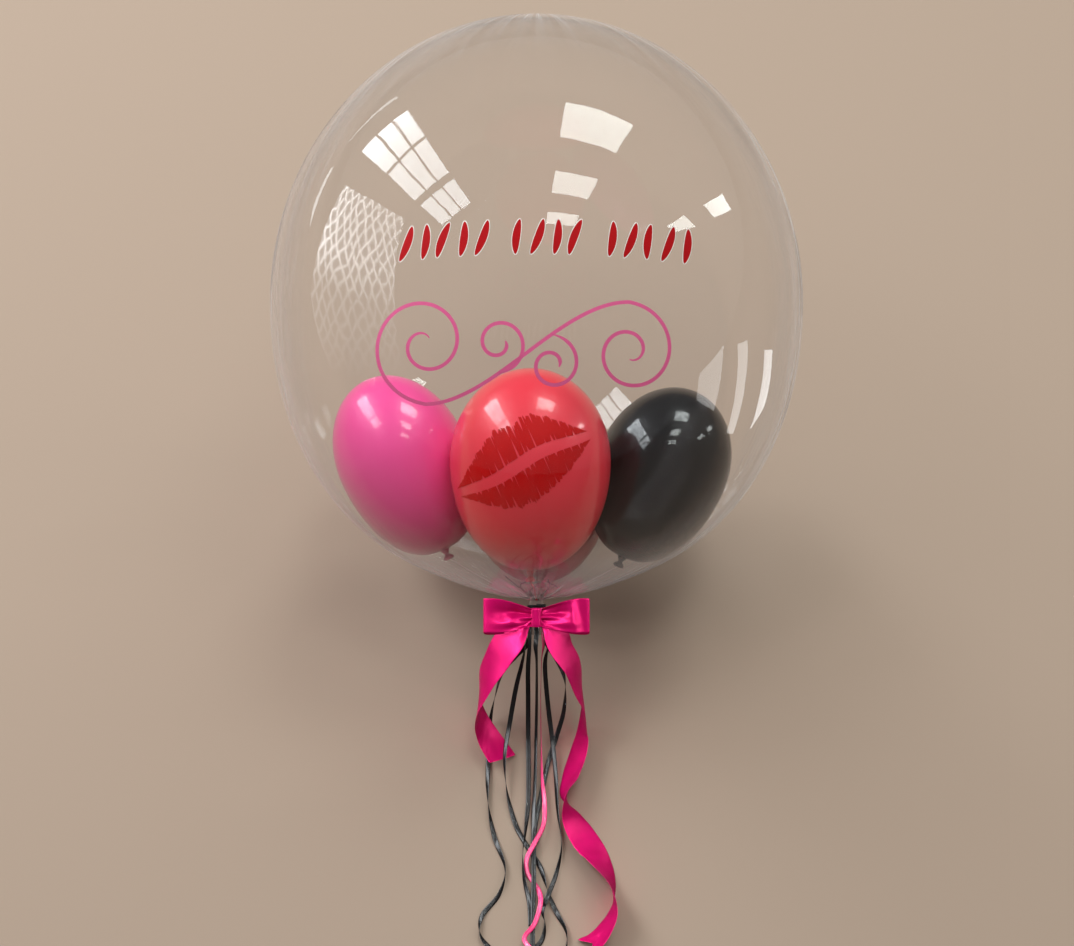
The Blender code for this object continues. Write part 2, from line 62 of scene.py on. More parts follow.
def place(across, drop, toward):
    """World point at a distance across, below the tie along the axis, and toward the viewer."""
    return UPRIGHT @ Vector((across, -toward, -drop))


print("tie at", [round(v, 4) for v in TIE], "bubble radius", round(BUBBLE_RADIUS, 4))

# %% [markdown]
# The camera looks square to the balloon's axis, so that the lying balloon is seen as a floating one
# is at eye level. A long lens from three metres away keeps the round bubble free of distortion.

# %% Camera
CAMERA_DISTANCE = 3.0
CAMERA_ACROSS = 0.0005
AIM_DROP = -0.1389                   # the view's centre is this far above the tie, along the axis
METRES_PER_PIXEL = 0.00106           # at the balloon's axis
PICTURE_WIDTH = 1074
SENSOR_WIDTH = 36.0                  # in millimetres, as Blender has it

camera_data = bpy.data.cameras.new("camera")
camera_data.sensor_width = SENSOR_WIDTH
camera_data.lens = SENSOR_WIDTH * CAMERA_DISTANCE / (PICTURE_WIDTH * METRES_PER_PIXEL)
camera = bpy.data.objects.new("camera", camera_data)
bpy.context.scene.collection.objects.link(camera)
camera.location = place(CAMERA_ACROSS, AIM_DROP, CAMERA_DISTANCE)
camera.rotation_euler = (LEAN, 0.0, 0.0)
bpy.context.scene.camera = camera
print("lens", round(camera_data.lens, 1), "mm")

# %% [markdown]
# Small helpers come next. A mesh made in the balloon's frame is tipped over as it becomes an object,
# and every piece rides on the one body, takes one material and is shaded smooth.

# %% Helpers for meshes
BODY = "root"


def piece(name, mesh, finish, upright=True, replaces=()):
    """Turns a mesh into a piece of the balloon."""
    if upright:
        mesh.transform(UPRIGHT)
    mesh.materials.append(finish)
    mesh.shade_smooth()
    made = bpy.data.objects.new(name, mesh)
    bpy.context.scene.collection.objects.link(made)
    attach(made, BODY)
    if replaces:
        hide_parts(*replaces)
    return made


def mesh_from_rows(name, rows, closed_rows=False, closed_columns=False, uv=None):
    """A mesh of quads over rows of points. uv gives (u, v) for a (row, column)."""
    bm = bmesh.new()
    layer = bm.loops.layers.uv.new("UVMap")
    grid = [[bm.verts.new(point) for point in row] for row in rows]
    row_count, column_count = len(grid), len(grid[0])
    for i in range(row_count - (0 if closed_rows else 1)):
        for k in range(column_count - (0 if closed_columns else 1)):
            corners = [(i, k), (i, k + 1), (i + 1, k + 1), (i + 1, k)]
            face = bm.faces.new([grid[a % row_count][b % column_count] for a, b in corners])
            if uv:
                for loop, corner in zip(face.loops, corners):
                    loop[layer].uv = uv(*corner)
    mesh = bpy.data.meshes.new(name)
    bm.to_mesh(mesh)
    bm.free()
    return mesh


def hermite(a, b, slope_a, slope_b, u):
    """A smooth value from a to b, with the two slopes given over the whole span."""
    return ((2 * u**3 - 3 * u**2 + 1) * a + (u**3 - 2 * u**2 + u) * slope_a
            + (3 * u**2 - 2 * u**3) * b + (u**3 - u**2) * slope_b)


def ease(u):
    """0 to 1 with level ends."""
    u = min(1.0, max(0.0, u))
    return u * u * (3 - 2 * u)


def tangents(spots):
    """Unit directions along a line of points."""
    last = len(spots) - 1
    return [(spots[min(i + 1, last)] - spots[max(i - 1, 0)]).normalized() for i in range(last + 1)]


def close_ends(mesh, segments, tips):
    """Closes a turned mesh with fans of triangles. tips gives a (ring, point) for each end."""
    bm = bmesh.new()
    bm.from_mesh(mesh)
    corners = list(bm.verts)
    for ring, point in tips:
        tip = bm.verts.new(point)
        ends = corners[ring * segments:(ring + 1) * segments]
        for a, b in zip(ends, ends[1:] + ends[:1]):
            bm.faces.new((a, b, tip))
    bmesh.ops.recalc_face_normals(bm, faces=bm.faces)
    bm.to_mesh(mesh)
    bm.free()

# %% [markdown]
# Curling ribbon is a flat plastic band about 5 mm wide. Drawn over a blade it coils, and left alone it
# falls in slow waves, turning as it goes. Each ribbon here follows a route of given points:
# across, below the tie, height over the line along which everything falls, and turn in degrees.

# %% Routes of the ribbons
CURL_WIDTH = 0.0050
CURL_THICKNESS = 0.0003
STUB_LENGTH = 0.032
STUB_OUTSIDE = 0.00935               # outermost of the gathered film below the tie
STRAND_GAP = 0.0006
STRANDS_ROUND = 8
TIE_HEIGHT = 0.0064
LANDING_DROP = 0.165
GROUND_GAP = 0.0006

CURL_ROUTES = {
    "curling_ribbon_left": (-3, [
        (-0.011, 0.045, -0.006, 150), (-0.022, 0.056, -0.006, 175), (-0.036, 0.073, -0.004, 225),
        (-0.044, 0.099, -0.006, 262), (-0.050, 0.130, -0.011, 320), (-0.052, 0.171, 0.002, 360),
        (-0.052, 0.210, 0.003, 440), (-0.045, 0.246, 0.002, 525), (-0.033, 0.278, 0.003, 615),
        (-0.039, 0.303, 0.002, 690), (-0.057, 0.324, 0.002, 745), (-0.058, 0.343, 0.003, 830),
        (-0.042, 0.361, 0.002, 900), (-0.026, 0.379, 0.002, 960), (-0.022, 0.404, 0.002, 1020)]),
    "curling_ribbon_inner_left": (-2, [
        (-0.012, 0.045, 0.000, 100), (-0.016, 0.065, 0.002, 135), (-0.022, 0.091, 0.005, 165),
        (-0.029, 0.131, 0.010, 195), (-0.034, 0.163, 0.0142, 225), (-0.033, 0.190, 0.008, 265),
        (-0.029, 0.213, 0.003, 310), (-0.021, 0.238, 0.0015, 352), (-0.007, 0.261, 0.0012, 360),
        (0.004, 0.277, 0.0012, 366), (0.011, 0.298, 0.002, 445), (0.020, 0.319, 0.002, 535),
        (0.031, 0.339, 0.003, 605), (0.030, 0.358, 0.003, 670), (0.017, 0.379, 0.002, 720),
        (0.010, 0.404, 0.002, 780)]),
    "curling_ribbon_middle": (-1, [
        (-0.0075, 0.045, 0.006, 40), (-0.009, 0.068, 0.006, 18), (-0.009, 0.102, 0.005, 6),
        (-0.009, 0.139, 0.004, 0), (-0.0085, 0.183, 0.0035, 0), (-0.009, 0.214, 0.004, -8),
        (-0.012, 0.243, 0.006, -60), (-0.0145, 0.264, 0.0055, -92), (-0.013, 0.288, 0.003, -130),
        (-0.0075, 0.311, 0.0015, -172), (-0.006, 0.334, 0.0012, -180)]),
    "curling_ribbon_inner_right": (2, [
        (0.012, 0.045, 0.000, -80), (0.009, 0.066, 0.002, -25), (0.012, 0.107, 0.007, -10),
        (0.017, 0.149, 0.010, 10), (0.0205, 0.184, 0.006, 30), (0.0225, 0.222, 0.003, 60),
        (0.0265, 0.255, 0.003, 98), (0.021, 0.282, 0.004, 150), (0.0118, 0.304, 0.0072, 180),
        (0.0065, 0.318, 0.0045, 218), (0.009, 0.333, 0.003, 290), (0.005, 0.348, 0.0016, 350),
        (-0.007, 0.361, 0.0012, 362), (-0.015, 0.383, 0.002, 385), (-0.017, 0.404, 0.002, 410)]),
    "curling_ribbon_right": (3, [
        (0.012, 0.045, -0.006, -150), (0.020, 0.057, -0.005, -178), (0.028, 0.074, -0.003, -220),
        (0.031, 0.091, 0.000, -272), (0.029, 0.119, 0.001, -330), (0.022, 0.144, 0.0015, -352),
        (0.013, 0.171, 0.002, -360), (0.006, 0.200, 0.002, -360), (0.000, 0.228, 0.0022, -360),
        (-0.003, 0.250, 0.0034, -360), (-0.003, 0.268, 0.0030, -360)]),
    "pink_curling_ribbon": (1, [
        (0.0075, 0.045, 0.006, -60), (0.0055, 0.060, 0.0055, -85), (0.0045, 0.100, 0.005, -92),
        (0.005, 0.149, 0.006, -100), (0.006, 0.187, 0.0070, -125), (0.0085, 0.212, 0.0068, -165),
        (0.0075, 0.234, 0.0075, -190), (-0.002, 0.252, 0.0100, -180), (-0.010, 0.267, 0.0075, -160),
        (-0.010, 0.281, 0.0030, -170), (-0.003, 0.292, 0.0012, -180), (0.0025, 0.300, 0.0045, -180),
        (0.0042, 0.310, 0.0120, -180), (-0.002, 0.330, 0.0105, -180), (-0.0128, 0.345, 0.0065, -185),
        (-0.002, 0.357, 0.0108, -180), (0.009, 0.364, 0.0060, -180), (0.0045, 0.381, 0.0020, -190)]),
    "tether_ribbon": (0, [
        (-0.001, 0.045, 0.0105, 30), (0.000, 0.062, 0.0090, 62), (0.000, 0.102, 0.0080, 56),
        (-0.001, 0.165, 0.0055, 50), (-0.002, 0.200, 0.0060, 44), (-0.003, 0.219, 0.0065, 30),
        (-0.003, 0.237, 0.0062, 12), (-0.003, 0.250, 0.0060, 0), (-0.003, 0.293, 0.0060, 0),
        (-0.004, 0.335, 0.0060, 0), (-0.004, 0.370, 0.0045, 0)]),
}


def fall_height(drop):
    """Height over the ground of the line along which tails and ribbons fall from the stub."""
    stub_end_height = TIE.z - STUB_LENGTH * math.sin(LEAN)
    if drop <= STUB_LENGTH:
        return TIE.z - drop * math.sin(LEAN)
    if drop >= LANDING_DROP:
        return 0.0
    span = LANDING_DROP - STUB_LENGTH
    return hermite(stub_end_height, 0.0, -math.sin(LEAN) * span, 0.0, (drop - STUB_LENGTH) / span)


def on_fall(across, drop, lift):
    """World point over the fall line, as seen at that place square to the balloon's axis."""
    height = fall_height(drop) + lift
    return place(across, drop, (height - TIE.z + drop * math.sin(LEAN)) / math.cos(LEAN))


def smooth_route(points, spacing):
    """Points of a Catmull-Rom curve through the route, about this far apart, each with its turn."""
    rows = [tuple(points[0])] + [tuple(p) for p in points] + [tuple(points[-1])]
    dense = []
    for a, b, c, d in zip(rows, rows[1:], rows[2:], rows[3:]):
        for step in range(24):
            u = step / 24
            dense.append(tuple(
                0.5 * (2 * q + (r - p) * u + (2 * p - 5 * q + 4 * r - s) * u**2
                       + (3 * q - p - 3 * r + s) * u**3)
                for p, q, r, s in zip(a, b, c, d)))
    dense.append(rows[-1])
    spots = [on_fall(*row[:3]) for row in dense]
    lengths = [0.0]
    for p, q in zip(spots, spots[1:]):
        lengths.append(lengths[-1] + (q - p).length)
    count = max(2, round(lengths[-1] / spacing))
    route, k = [], 0
    for i in range(count + 1):
        target = lengths[-1] * i / count
        while k < len(lengths) - 2 and lengths[k + 1] < target:
            k += 1
        u = (target - lengths[k]) / max(1e-9, lengths[k + 1] - lengths[k])
        route.append((spots[k].lerp(spots[k + 1], u), dense[k][3] + (dense[k + 1][3] - dense[k][3]) * u))
    return route, lengths[-1]


VIEWER = Vector((0.0, -math.sin(LEAN), math.cos(LEAN)))


def width_direction(tangent, turn):
    """Unit vector across a ribbon that has turned by this angle from facing the viewer."""
    side = tangent.cross(VIEWER).normalized()
    front = side.cross(tangent).normalized()
    if side.x < 0:
        side = -side
    return math.cos(math.radians(turn)) * side + math.sin(math.radians(turn)) * front


def lift_edges(route, half_width):
    """Raises a route where a ribbon turned on edge would dip into the ground. Adds width directions."""
    spots = [spot.copy() for spot, _ in route]
    frames = [(tangent, width_direction(tangent, turn))
              for tangent, (_, turn) in zip(tangents(spots), route)]
    for spot, (_, across) in zip(spots, frames):
        spot.z = max(spot.z, half_width * abs(across.z) + GROUND_GAP)
    return [(spot, tangent, across) for spot, (tangent, across) in zip(spots, frames)]


def strand_route(seat, points):
    """A ribbon's whole route: along the stub from the tie, then its own way down."""
    angle = 2 * math.pi * seat / STRANDS_ROUND
    radius = STUB_OUTSIDE + STRAND_GAP + 0.0002
    turn = -math.degrees(angle)
    turn += 180 * round((points[0][3] - turn) / 180)
    start = []
    for drop in (TIE_HEIGHT / 2 + STRAND_GAP / 2, STUB_LENGTH / 2, STUB_LENGTH):
        start.append((radius * math.sin(angle), drop, radius * math.cos(angle) * math.cos(LEAN), turn))
    return start + points


print("ribbon routes:", len(CURL_ROUTES))

# %% [markdown]
# A finish is a small net of shader nodes. Wiring each by hand takes many lines, so one helper adds a node
# and feeds its inputs, and a few more stand for what the finishes share: a number worked out, a ramp of
# colours, a bump, two shaders mixed, and the kind of ray that is looking.

# %% Helpers for materials
def add_node(tree, kind, feeds=None, **settings):
    """Adds a shader node with its settings, and feeds its inputs with sockets or plain values."""
    made = tree.nodes.new("ShaderNode" + kind)
    for label, value in settings.items():
        setattr(made, label, value)
    for label, value in (feeds or {}).items():
        if isinstance(value, bpy.types.NodeSocket):
            tree.links.new(value, made.inputs[label])
        else:
            made.inputs[label].default_value = value
    return made


def math_value(tree, operation, first, second=0.0, clamp=False):
    """The value of a Math node over two sockets or numbers."""
    made = add_node(tree, "Math", {0: first, 1: second}, operation=operation, use_clamp=clamp)
    return made.outputs["Value"]


def uv_map(tree):
    """The place on the piece's own UV map."""
    return add_node(tree, "UVMap", uv_map="UVMap").outputs["UV"]


def parts_of(tree, vector):
    """The X, Y and Z of a vector."""
    return add_node(tree, "SeparateXYZ", {"Vector": vector}).outputs


def colour_ramp(tree, factor, stops):
    """The colour at a factor, from (position, colour) stops. A single number is a grey."""
    ramp = add_node(tree, "ValToRGB", {"Fac": factor})
    elements = ramp.color_ramp.elements
    while len(elements) < len(stops):
        elements.new(0.5)
    for element, (position, colour) in zip(elements, stops):
        element.position = position
        element.color = (colour, colour, colour, 1.0) if isinstance(colour, float) else (*colour, 1.0)
    return ramp.outputs["Color"]


def shader_mix(tree, share, first, second):
    """Two shaders mixed, by the share that the second has."""
    return add_node(tree, "MixShader", {"Fac": share, 1: first, 2: second}).outputs["Shader"]


def shader_of(tree, kind, colour=(1.0, 1.0, 1.0)):
    """A simple shader of one colour."""
    return add_node(tree, kind, {"Color": (*colour, 1.0)}).outputs["BSDF"]


def ray_is(tree, kind):
    """1 for rays of this kind and 0 for others."""
    return add_node(tree, "LightPath").outputs[f"Is {kind} Ray"]


def ray_is_mirrored(tree):
    """1 for rays that a surface has mirrored, and 0 for others, also for those the film has bent."""
    return math_value(tree, "SUBTRACT", ray_is(tree, "Glossy"), ray_is(tree, "Transmission"), clamp=True)


def show(tree, look):
    """Makes a shader the material's surface."""
    tree.links.new(look, tree.nodes["Material Output"].inputs["Surface"])


def new_material(name, values):
    """A material with one Principled shader and plain values on its sockets."""
    made = bpy.data.materials.new(name)
    made.use_nodes = True
    shader = made.node_tree.nodes["Principled BSDF"]
    for label, value in values.items():
        shader.inputs[label].default_value = (*value, 1.0) if isinstance(value, tuple) else value
    return made, made.node_tree, shader


def add_colour(tree, shader, colour):
    """Feeds a colour to the shader."""
    tree.links.new(colour, shader.inputs["Base Color"])


def add_bump(tree, shader, height, distance):
    """Feeds a height to the shader's normal."""
    bump = add_node(tree, "Bump", {"Height": height, "Distance": distance, "Strength": 1.0})
    tree.links.new(bump.outputs["Normal"], shader.inputs["Normal"])


# %% [markdown]
# Two effects return in several finishes, so each is a node group. The first is the faint unevenness
# that any stretched film or rubber has, which makes its reflections wander. The second is the fine
# crimp pressed across curling ribbon, a row of ridges along the band's own length.

# %% Node groups
def new_group(name, inputs):
    """An empty node group with float inputs and one output, Height."""
    group = bpy.data.node_groups.new(name, "ShaderNodeTree")
    for label, value in inputs.items():
        socket = group.interface.new_socket(label, in_out="INPUT", socket_type="NodeSocketFloat")
        socket.default_value = value
    group.interface.new_socket("Height", in_out="OUTPUT", socket_type="NodeSocketFloat")
    return group, group.nodes.new("NodeGroupInput").outputs, group.nodes.new("NodeGroupOutput").inputs


def make_unevenness_group():
    """Slow waves and fine mottle, blended into one height."""
    group, given, result = new_group(
        "stretched_unevenness", {"Waves": 6.0, "Mottle": 90.0, "Mottle Share": 0.1})
    where = add_node(group, "TexCoord").outputs["Object"]
    slow = add_node(group, "TexNoise", {"Vector": where, "Scale": given["Waves"], "Detail": 1.5})
    fine = add_node(group, "TexNoise", {"Vector": where, "Scale": given["Mottle"], "Detail": 2.0})
    blend = add_node(group, "Mix", {"Factor": given["Mottle Share"], "A": slow.outputs["Fac"],
                                    "B": fine.outputs["Fac"]}, data_type="FLOAT")
    group.links.new(blend.outputs["Result"], result["Height"])
    return group


def make_crimp_group():
    """Fine ridges across a band, from its UV map in metres."""
    group, given, result = new_group("ribbon_crimp", {"Ridges Per Metre": 900.0})
    ridges = math_value(group, "MULTIPLY", parts_of(group, uv_map(group))["Y"], given["Ridges Per Metre"])
    wave = math_value(group, "SINE", math_value(group, "MULTIPLY", ridges, 2 * math.pi))
    group.links.new(wave, result["Height"])
    return group


UNEVENNESS = make_unevenness_group()
CRIMP = make_crimp_group()


def unevenness(tree, waves, mottle, share):
    """The height from the unevenness group, with a finish's own values."""
    return add_node(tree, "Group", {"Waves": waves, "Mottle": mottle, "Mottle Share": share},
                    node_tree=UNEVENNESS).outputs["Height"]


print("node groups:", UNEVENNESS.name, CRIMP.name)

# %% [markdown]
# Curling ribbon is glossy polypropylene. Its crimp turns one clear highlight into a soft grey streak
# along the band, so the black ribbons read as grey where they face the light. The colour is also
# painted paler along the band's middle, as a painted highlight.

# %% Ribbon finish
def ribbon_material(name, dark, light):
    """Crimped glossy ribbon, with a painted highlight: paler along its middle."""
    made, tree, shader = new_material(name, {
        "Roughness": 0.24, "Specular IOR Level": 0.55, "Anisotropic": 0.30})
    across = parts_of(tree, uv_map(tree))["X"]
    # painted highlight: the colour is paler along the band's middle than at its edges
    add_colour(tree, shader, colour_ramp(tree, across, [(0.0, dark), (0.5, light), (1.0, dark)]))
    crimp = add_node(tree, "Group", node_tree=CRIMP)
    add_bump(tree, shader, crimp.outputs["Height"], 0.00004)
    return made


# the second colour of each ribbon is its painted highlight along the middle
BLACK_RIBBON = ribbon_material("black_curling_ribbon", (0.004, 0.004, 0.005), (0.009, 0.009, 0.010))
PINK_RIBBON = ribbon_material("pink_curling_ribbon", (0.60, 0.01, 0.12), (0.86, 0.09, 0.25))

# %% [markdown]
# Each ribbon is a band of quads: five points across with a slight hollow, one row every 2 mm, and a
# Solidify modifier for its thickness. A bevelled curve would do too, but it can't be hollowed as it
# turns, and its two faces split differently where the band twists.

# %% Ribbons and tether
CURL_HOLLOW = 0.00025


def band(name, stations, half_widths, hollow, columns):
    """A hollowed band through stations of (spot, tangent, across), with UVs across and along."""
    rows, along = [], [0.0]
    for i, ((spot, tangent, across), half) in enumerate(zip(stations, half_widths)):
        if i:
            along.append(along[-1] + (spot - stations[i - 1][0]).length)
        normal = across.cross(tangent).normalized()
        row = []
        for k in range(columns):
            v = -1 + 2 * k / (columns - 1)
            row.append(spot + across * half * v + normal * hollow * (v * v - 0.5))
        rows.append(row)
    return mesh_from_rows(name, rows, uv=lambda i, k: (k / (columns - 1), along[i]))


def thicken(made, thickness, offset=0.0):
    """Gives a sheet its thickness."""
    solid = made.modifiers.new("thickness", "SOLIDIFY")
    solid.thickness = thickness
    solid.offset = offset


def soften(made, levels=1):
    """Rounds a sheet's bends."""
    smooth = made.modifiers.new("soft", "SUBSURF")
    smooth.levels = smooth.render_levels = levels


ribbons = {}
for ribbon_name, (seat, route_points) in CURL_ROUTES.items():
    route, route_length = smooth_route(strand_route(seat, route_points), 0.002)
    shaped = lift_edges(route, CURL_WIDTH / 2)
    mesh = band(ribbon_name, shaped, [CURL_WIDTH / 2] * len(shaped), CURL_HOLLOW, 5)
    is_pink = ribbon_name.startswith("pink")
    ribbon = piece("film_" + ribbon_name, mesh, PINK_RIBBON if is_pink else BLACK_RIBBON,
                   upright=False, replaces=[ribbon_name])
    thicken(ribbon, CURL_THICKNESS)
    ribbons[ribbon_name] = (ribbon, shaped, route_length)
    print(ribbon_name, "is", round(route_length * 1000), "mm long")

# %% [markdown]
# The tether ends in a finger loop: the ribbon is doubled back and knotted. The knot is a short spiral
# of the same ribbon wound round itself, and the loop is one more band standing on its edge.

# %% Finger loop of the tether
END_LOOP_LENGTH = 0.024
END_LOOP_STEPS = 60
END_KNOT_RADIUS = 0.0042
END_KNOT_TURNS = 2.5
END_KNOT_STEPS = 60

tether_spot, tether_tangent, _ = ribbons["tether_ribbon"][1][-1]
loop_along = Vector((tether_tangent.x, tether_tangent.y, 0.0)).normalized()
loop_side = Vector((-loop_along.y, loop_along.x, 0.0))
knot_centre = Vector((tether_spot.x, tether_spot.y, END_KNOT_RADIUS + GROUND_GAP))
knot_centre += loop_along * (END_KNOT_RADIUS + 0.0003)


def end_loop_stations():
    """Once round the finger loop, on edge, starting and ending inside the knot."""
    spots, leans = [], []
    for i in range(END_LOOP_STEPS + 1):
        angle = 2 * math.pi * i / END_LOOP_STEPS
        forward = END_LOOP_LENGTH / 2 * (1 - math.cos(angle))
        bow_out = END_LOOP_LENGTH * 0.36 * math.sin(angle) * math.sin(angle / 2)
        rise = 0.0012 * math.sin(angle / 2) ** 2
        spots.append(knot_centre + loop_along * forward + loop_side * bow_out - Vector((0, 0, rise)))
        leans.append((Vector((0, 0, 1)) + loop_side * (0.5 * math.sin(angle))).normalized())
    return list(zip(spots, tangents(spots), leans))


def end_knot_stations():
    """Ribbon wound tightly round the knot's middle."""
    spots, leans = [], []
    for i in range(END_KNOT_STEPS + 1):
        share = i / END_KNOT_STEPS
        angle = 2 * math.pi * END_KNOT_TURNS * share
        reach = END_KNOT_RADIUS * (0.55 + 0.25 * share)
        ring = loop_side * reach * math.cos(angle) + Vector((0, 0, reach * math.sin(angle)))
        spots.append(knot_centre + ring + loop_along * 0.0012 * math.sin(angle * 0.7))
        lean = 0.35 * math.sin(3.1 * END_KNOT_TURNS * share)
        leans.append((loop_along + Vector((0, 0, lean))).normalized())
    return list(zip(spots, tangents(spots), leans))


def end_piece(name, stations, width_share, hollow, replaces=()):
    """One band of the tether's end."""
    mesh = band(name, stations, [CURL_WIDTH * width_share] * len(stations), hollow, 5)
    made = piece("film_" + name, mesh, BLACK_RIBBON, upright=False, replaces=replaces)
    thicken(made, CURL_THICKNESS)
    return made


end_loop = end_piece("end_loop", end_loop_stations(), 0.42, 0.0, ["tether_loop"])
end_knot = end_piece("end_knot", end_knot_stations(), 0.45, 0.0002)

# %% [markdown]
# The bubble is a bag of clear stretchy film, blown up until it is almost a ball. It could be a plain
# sphere with a glass shader, but a real wall has two faces close together, and only that shows the
# room behind without turning it upside down. So the outline is turned round the axis, thin pleats are
# pushed into it near the neck, and a Solidify modifier gives the wall its inside face.

# %% Film outline
CROWN_HEIGHT = 0.3037
BELLY_DEPTH = 0.3135
BELLY_FULLNESS = 2.1
NECK_LENGTH = 0.0055
NECK_SLOPE = 0.018                   # share by which the belly is shallower round the neck
NECK_SLOPE_RADIUS = 0.105
NECK_SLOPE_SPREAD = 0.080
WAIST_RADIUS = 0.0075
FUNNEL_RADIUS = 0.045
STUB_RADIUS = 0.0085
FILM_THICKNESS = 0.0005
RING_HEIGHT = BELLY_DEPTH + NECK_LENGTH      # the widest ring, over the tie


def belly_depth_at(radius):
    """Depth of the belly below the widest ring, where it has this radius."""
    share = min(1.0, radius / BUBBLE_RADIUS)
    drawn_in = NECK_SLOPE * math.exp(-((radius - NECK_SLOPE_RADIUS) / NECK_SLOPE_SPREAD) ** 2)
    return BELLY_DEPTH * (1.0 - share ** BELLY_FULLNESS) ** (1.0 / BELLY_FULLNESS) * (1.0 - drawn_in)


def film_outline(crown_rings, belly_rings, funnel_rings, stub_rings):
    """Half outline of the film from crown to stub, as (radius, height over the tie)."""
    points = []
    for i in range(1, crown_rings + 1):
        angle = math.pi / 2 * i / crown_rings
        points.append((BUBBLE_RADIUS * math.sin(angle), RING_HEIGHT + CROWN_HEIGHT * math.cos(angle)))
    for i in range(1, belly_rings + 1):
        angle = math.acos(FUNNEL_RADIUS / BUBBLE_RADIUS) * i / belly_rings
        radius = BUBBLE_RADIUS * math.cos(angle)
        points.append((radius, RING_HEIGHT - belly_depth_at(radius)))
    funnel_top, waist_top = points[-1][1], TIE_HEIGHT / 2
    drop = funnel_top - waist_top
    for i in range(1, funnel_rings + 1):
        u = i / funnel_rings
        radius = hermite(FUNNEL_RADIUS, WAIST_RADIUS, -1.6 * (FUNNEL_RADIUS - WAIST_RADIUS), 0.0, u)
        points.append((radius, hermite(funnel_top, waist_top, -2.0 * drop, -1.5 * drop, u)))
    for i in range(stub_rings + 1):
        u = i / stub_rings
        radius = hermite(WAIST_RADIUS, STUB_RADIUS, 0.0, 0.0, u)
        points.append((radius, -TIE_HEIGHT / 2 - (STUB_LENGTH - TIE_HEIGHT / 2) * u))
    return points


def skin_radius_at(height):
    """Radius of the film at a height over the tie, on the crown or the belly."""
    if height >= RING_HEIGHT:
        return BUBBLE_RADIUS * math.sqrt(max(0.0, 1 - ((height - RING_HEIGHT) / CROWN_HEIGHT) ** 2))
    share = min(1.0, (RING_HEIGHT - height) / BELLY_DEPTH)
    return BUBBLE_RADIUS * (1 - share ** BELLY_FULLNESS) ** (1 / BELLY_FULLNESS)


FILM_RINGS = (48, 56, 24, 12)         # on the crown, the belly, the funnel and the stub
print("film outline points:", len(film_outline(*FILM_RINGS)))

# %% Film mesh
FILM_SEGMENTS = 256
PLEATS = 16
PLEAT_HEIGHT = 0.0016
PLEAT_REACH = 0.110
FILM_LOWEST = 0.0001


def pleat(radius, height, angle):
    """How far the film's pleats move the skin: outward on the stub, along the axis on the funnel."""
    uneven = noise.noise(Vector((math.cos(angle) * 2.1, math.sin(angle) * 2.1, 0.3)))
    wave = math.cos(PLEATS * angle + 2.2 * uneven)
    fine = math.cos(2.5 * PLEATS * angle - 3.0 * uneven)
    if height < -TIE_HEIGHT / 2:
        share = min(1.0, (-height - TIE_HEIGHT / 2) / (STUB_LENGTH / 3))
        return radius * share * (0.075 * wave + 0.02 * fine), 0.0
    if radius >= PLEAT_REACH or radius <= WAIST_RADIUS or height > BELLY_DEPTH:
        return 0.0, 0.0
    u = (PLEAT_REACH - radius) / (PLEAT_REACH - WAIST_RADIUS)
    size = PLEAT_HEIGHT * 4 * u**2 * (1 - u)
    return 0.0, size * (wave + 0.35 * fine * u)


def make_film():
    """The film as rings from crown to stub, pressed flat where the balloon lies on the ground."""
    to_upright = UPRIGHT.inverted()
    rows = []
    for radius, height in film_outline(*FILM_RINGS):
        row = []
        for k in range(FILM_SEGMENTS):
            angle = 2 * math.pi * k / FILM_SEGMENTS
            out, up = pleat(radius, height, angle)
            reach = radius + out
            point = UPRIGHT @ Vector((reach * math.cos(angle), reach * math.sin(angle), height + up))
            point.z = max(point.z, FILM_LOWEST)
            row.append(to_upright @ point)
        rows.append(row)
    mesh = mesh_from_rows("bubble_film", rows, closed_columns=True)
    close_ends(mesh, FILM_SEGMENTS, [(0, (0, 0, RING_HEIGHT + CROWN_HEIGHT))])
    upright = mesh.attributes.new("upright", "FLOAT_VECTOR", "POINT")
    upright.data.foreach_set("vector", [value for vert in mesh.vertices for value in vert.co])
    return mesh

# %% [markdown]
# Clear film is plain glass on the shader: full transmission and almost no roughness. A light's shadow
# ray can't bend through glass, so for shadow and diffuse rays alone the wall is simply transparent,
# and what is inside stays lit. Stretched film is never quite clear, and a line of sight along the wall
# passes through more of it. So a white haze grows where the wall is seen edge-on, in streaks that run
# from crown to neck the way the film was drawn, and again where it is gathered over the tie.

# %% Film finish
STREAK_FINENESS = 14.0
STREAK_DRAW = 0.25                   # below 1, streaks are drawn out from crown to neck
HAZE_WHITE = (0.95, 0.96, 0.98)


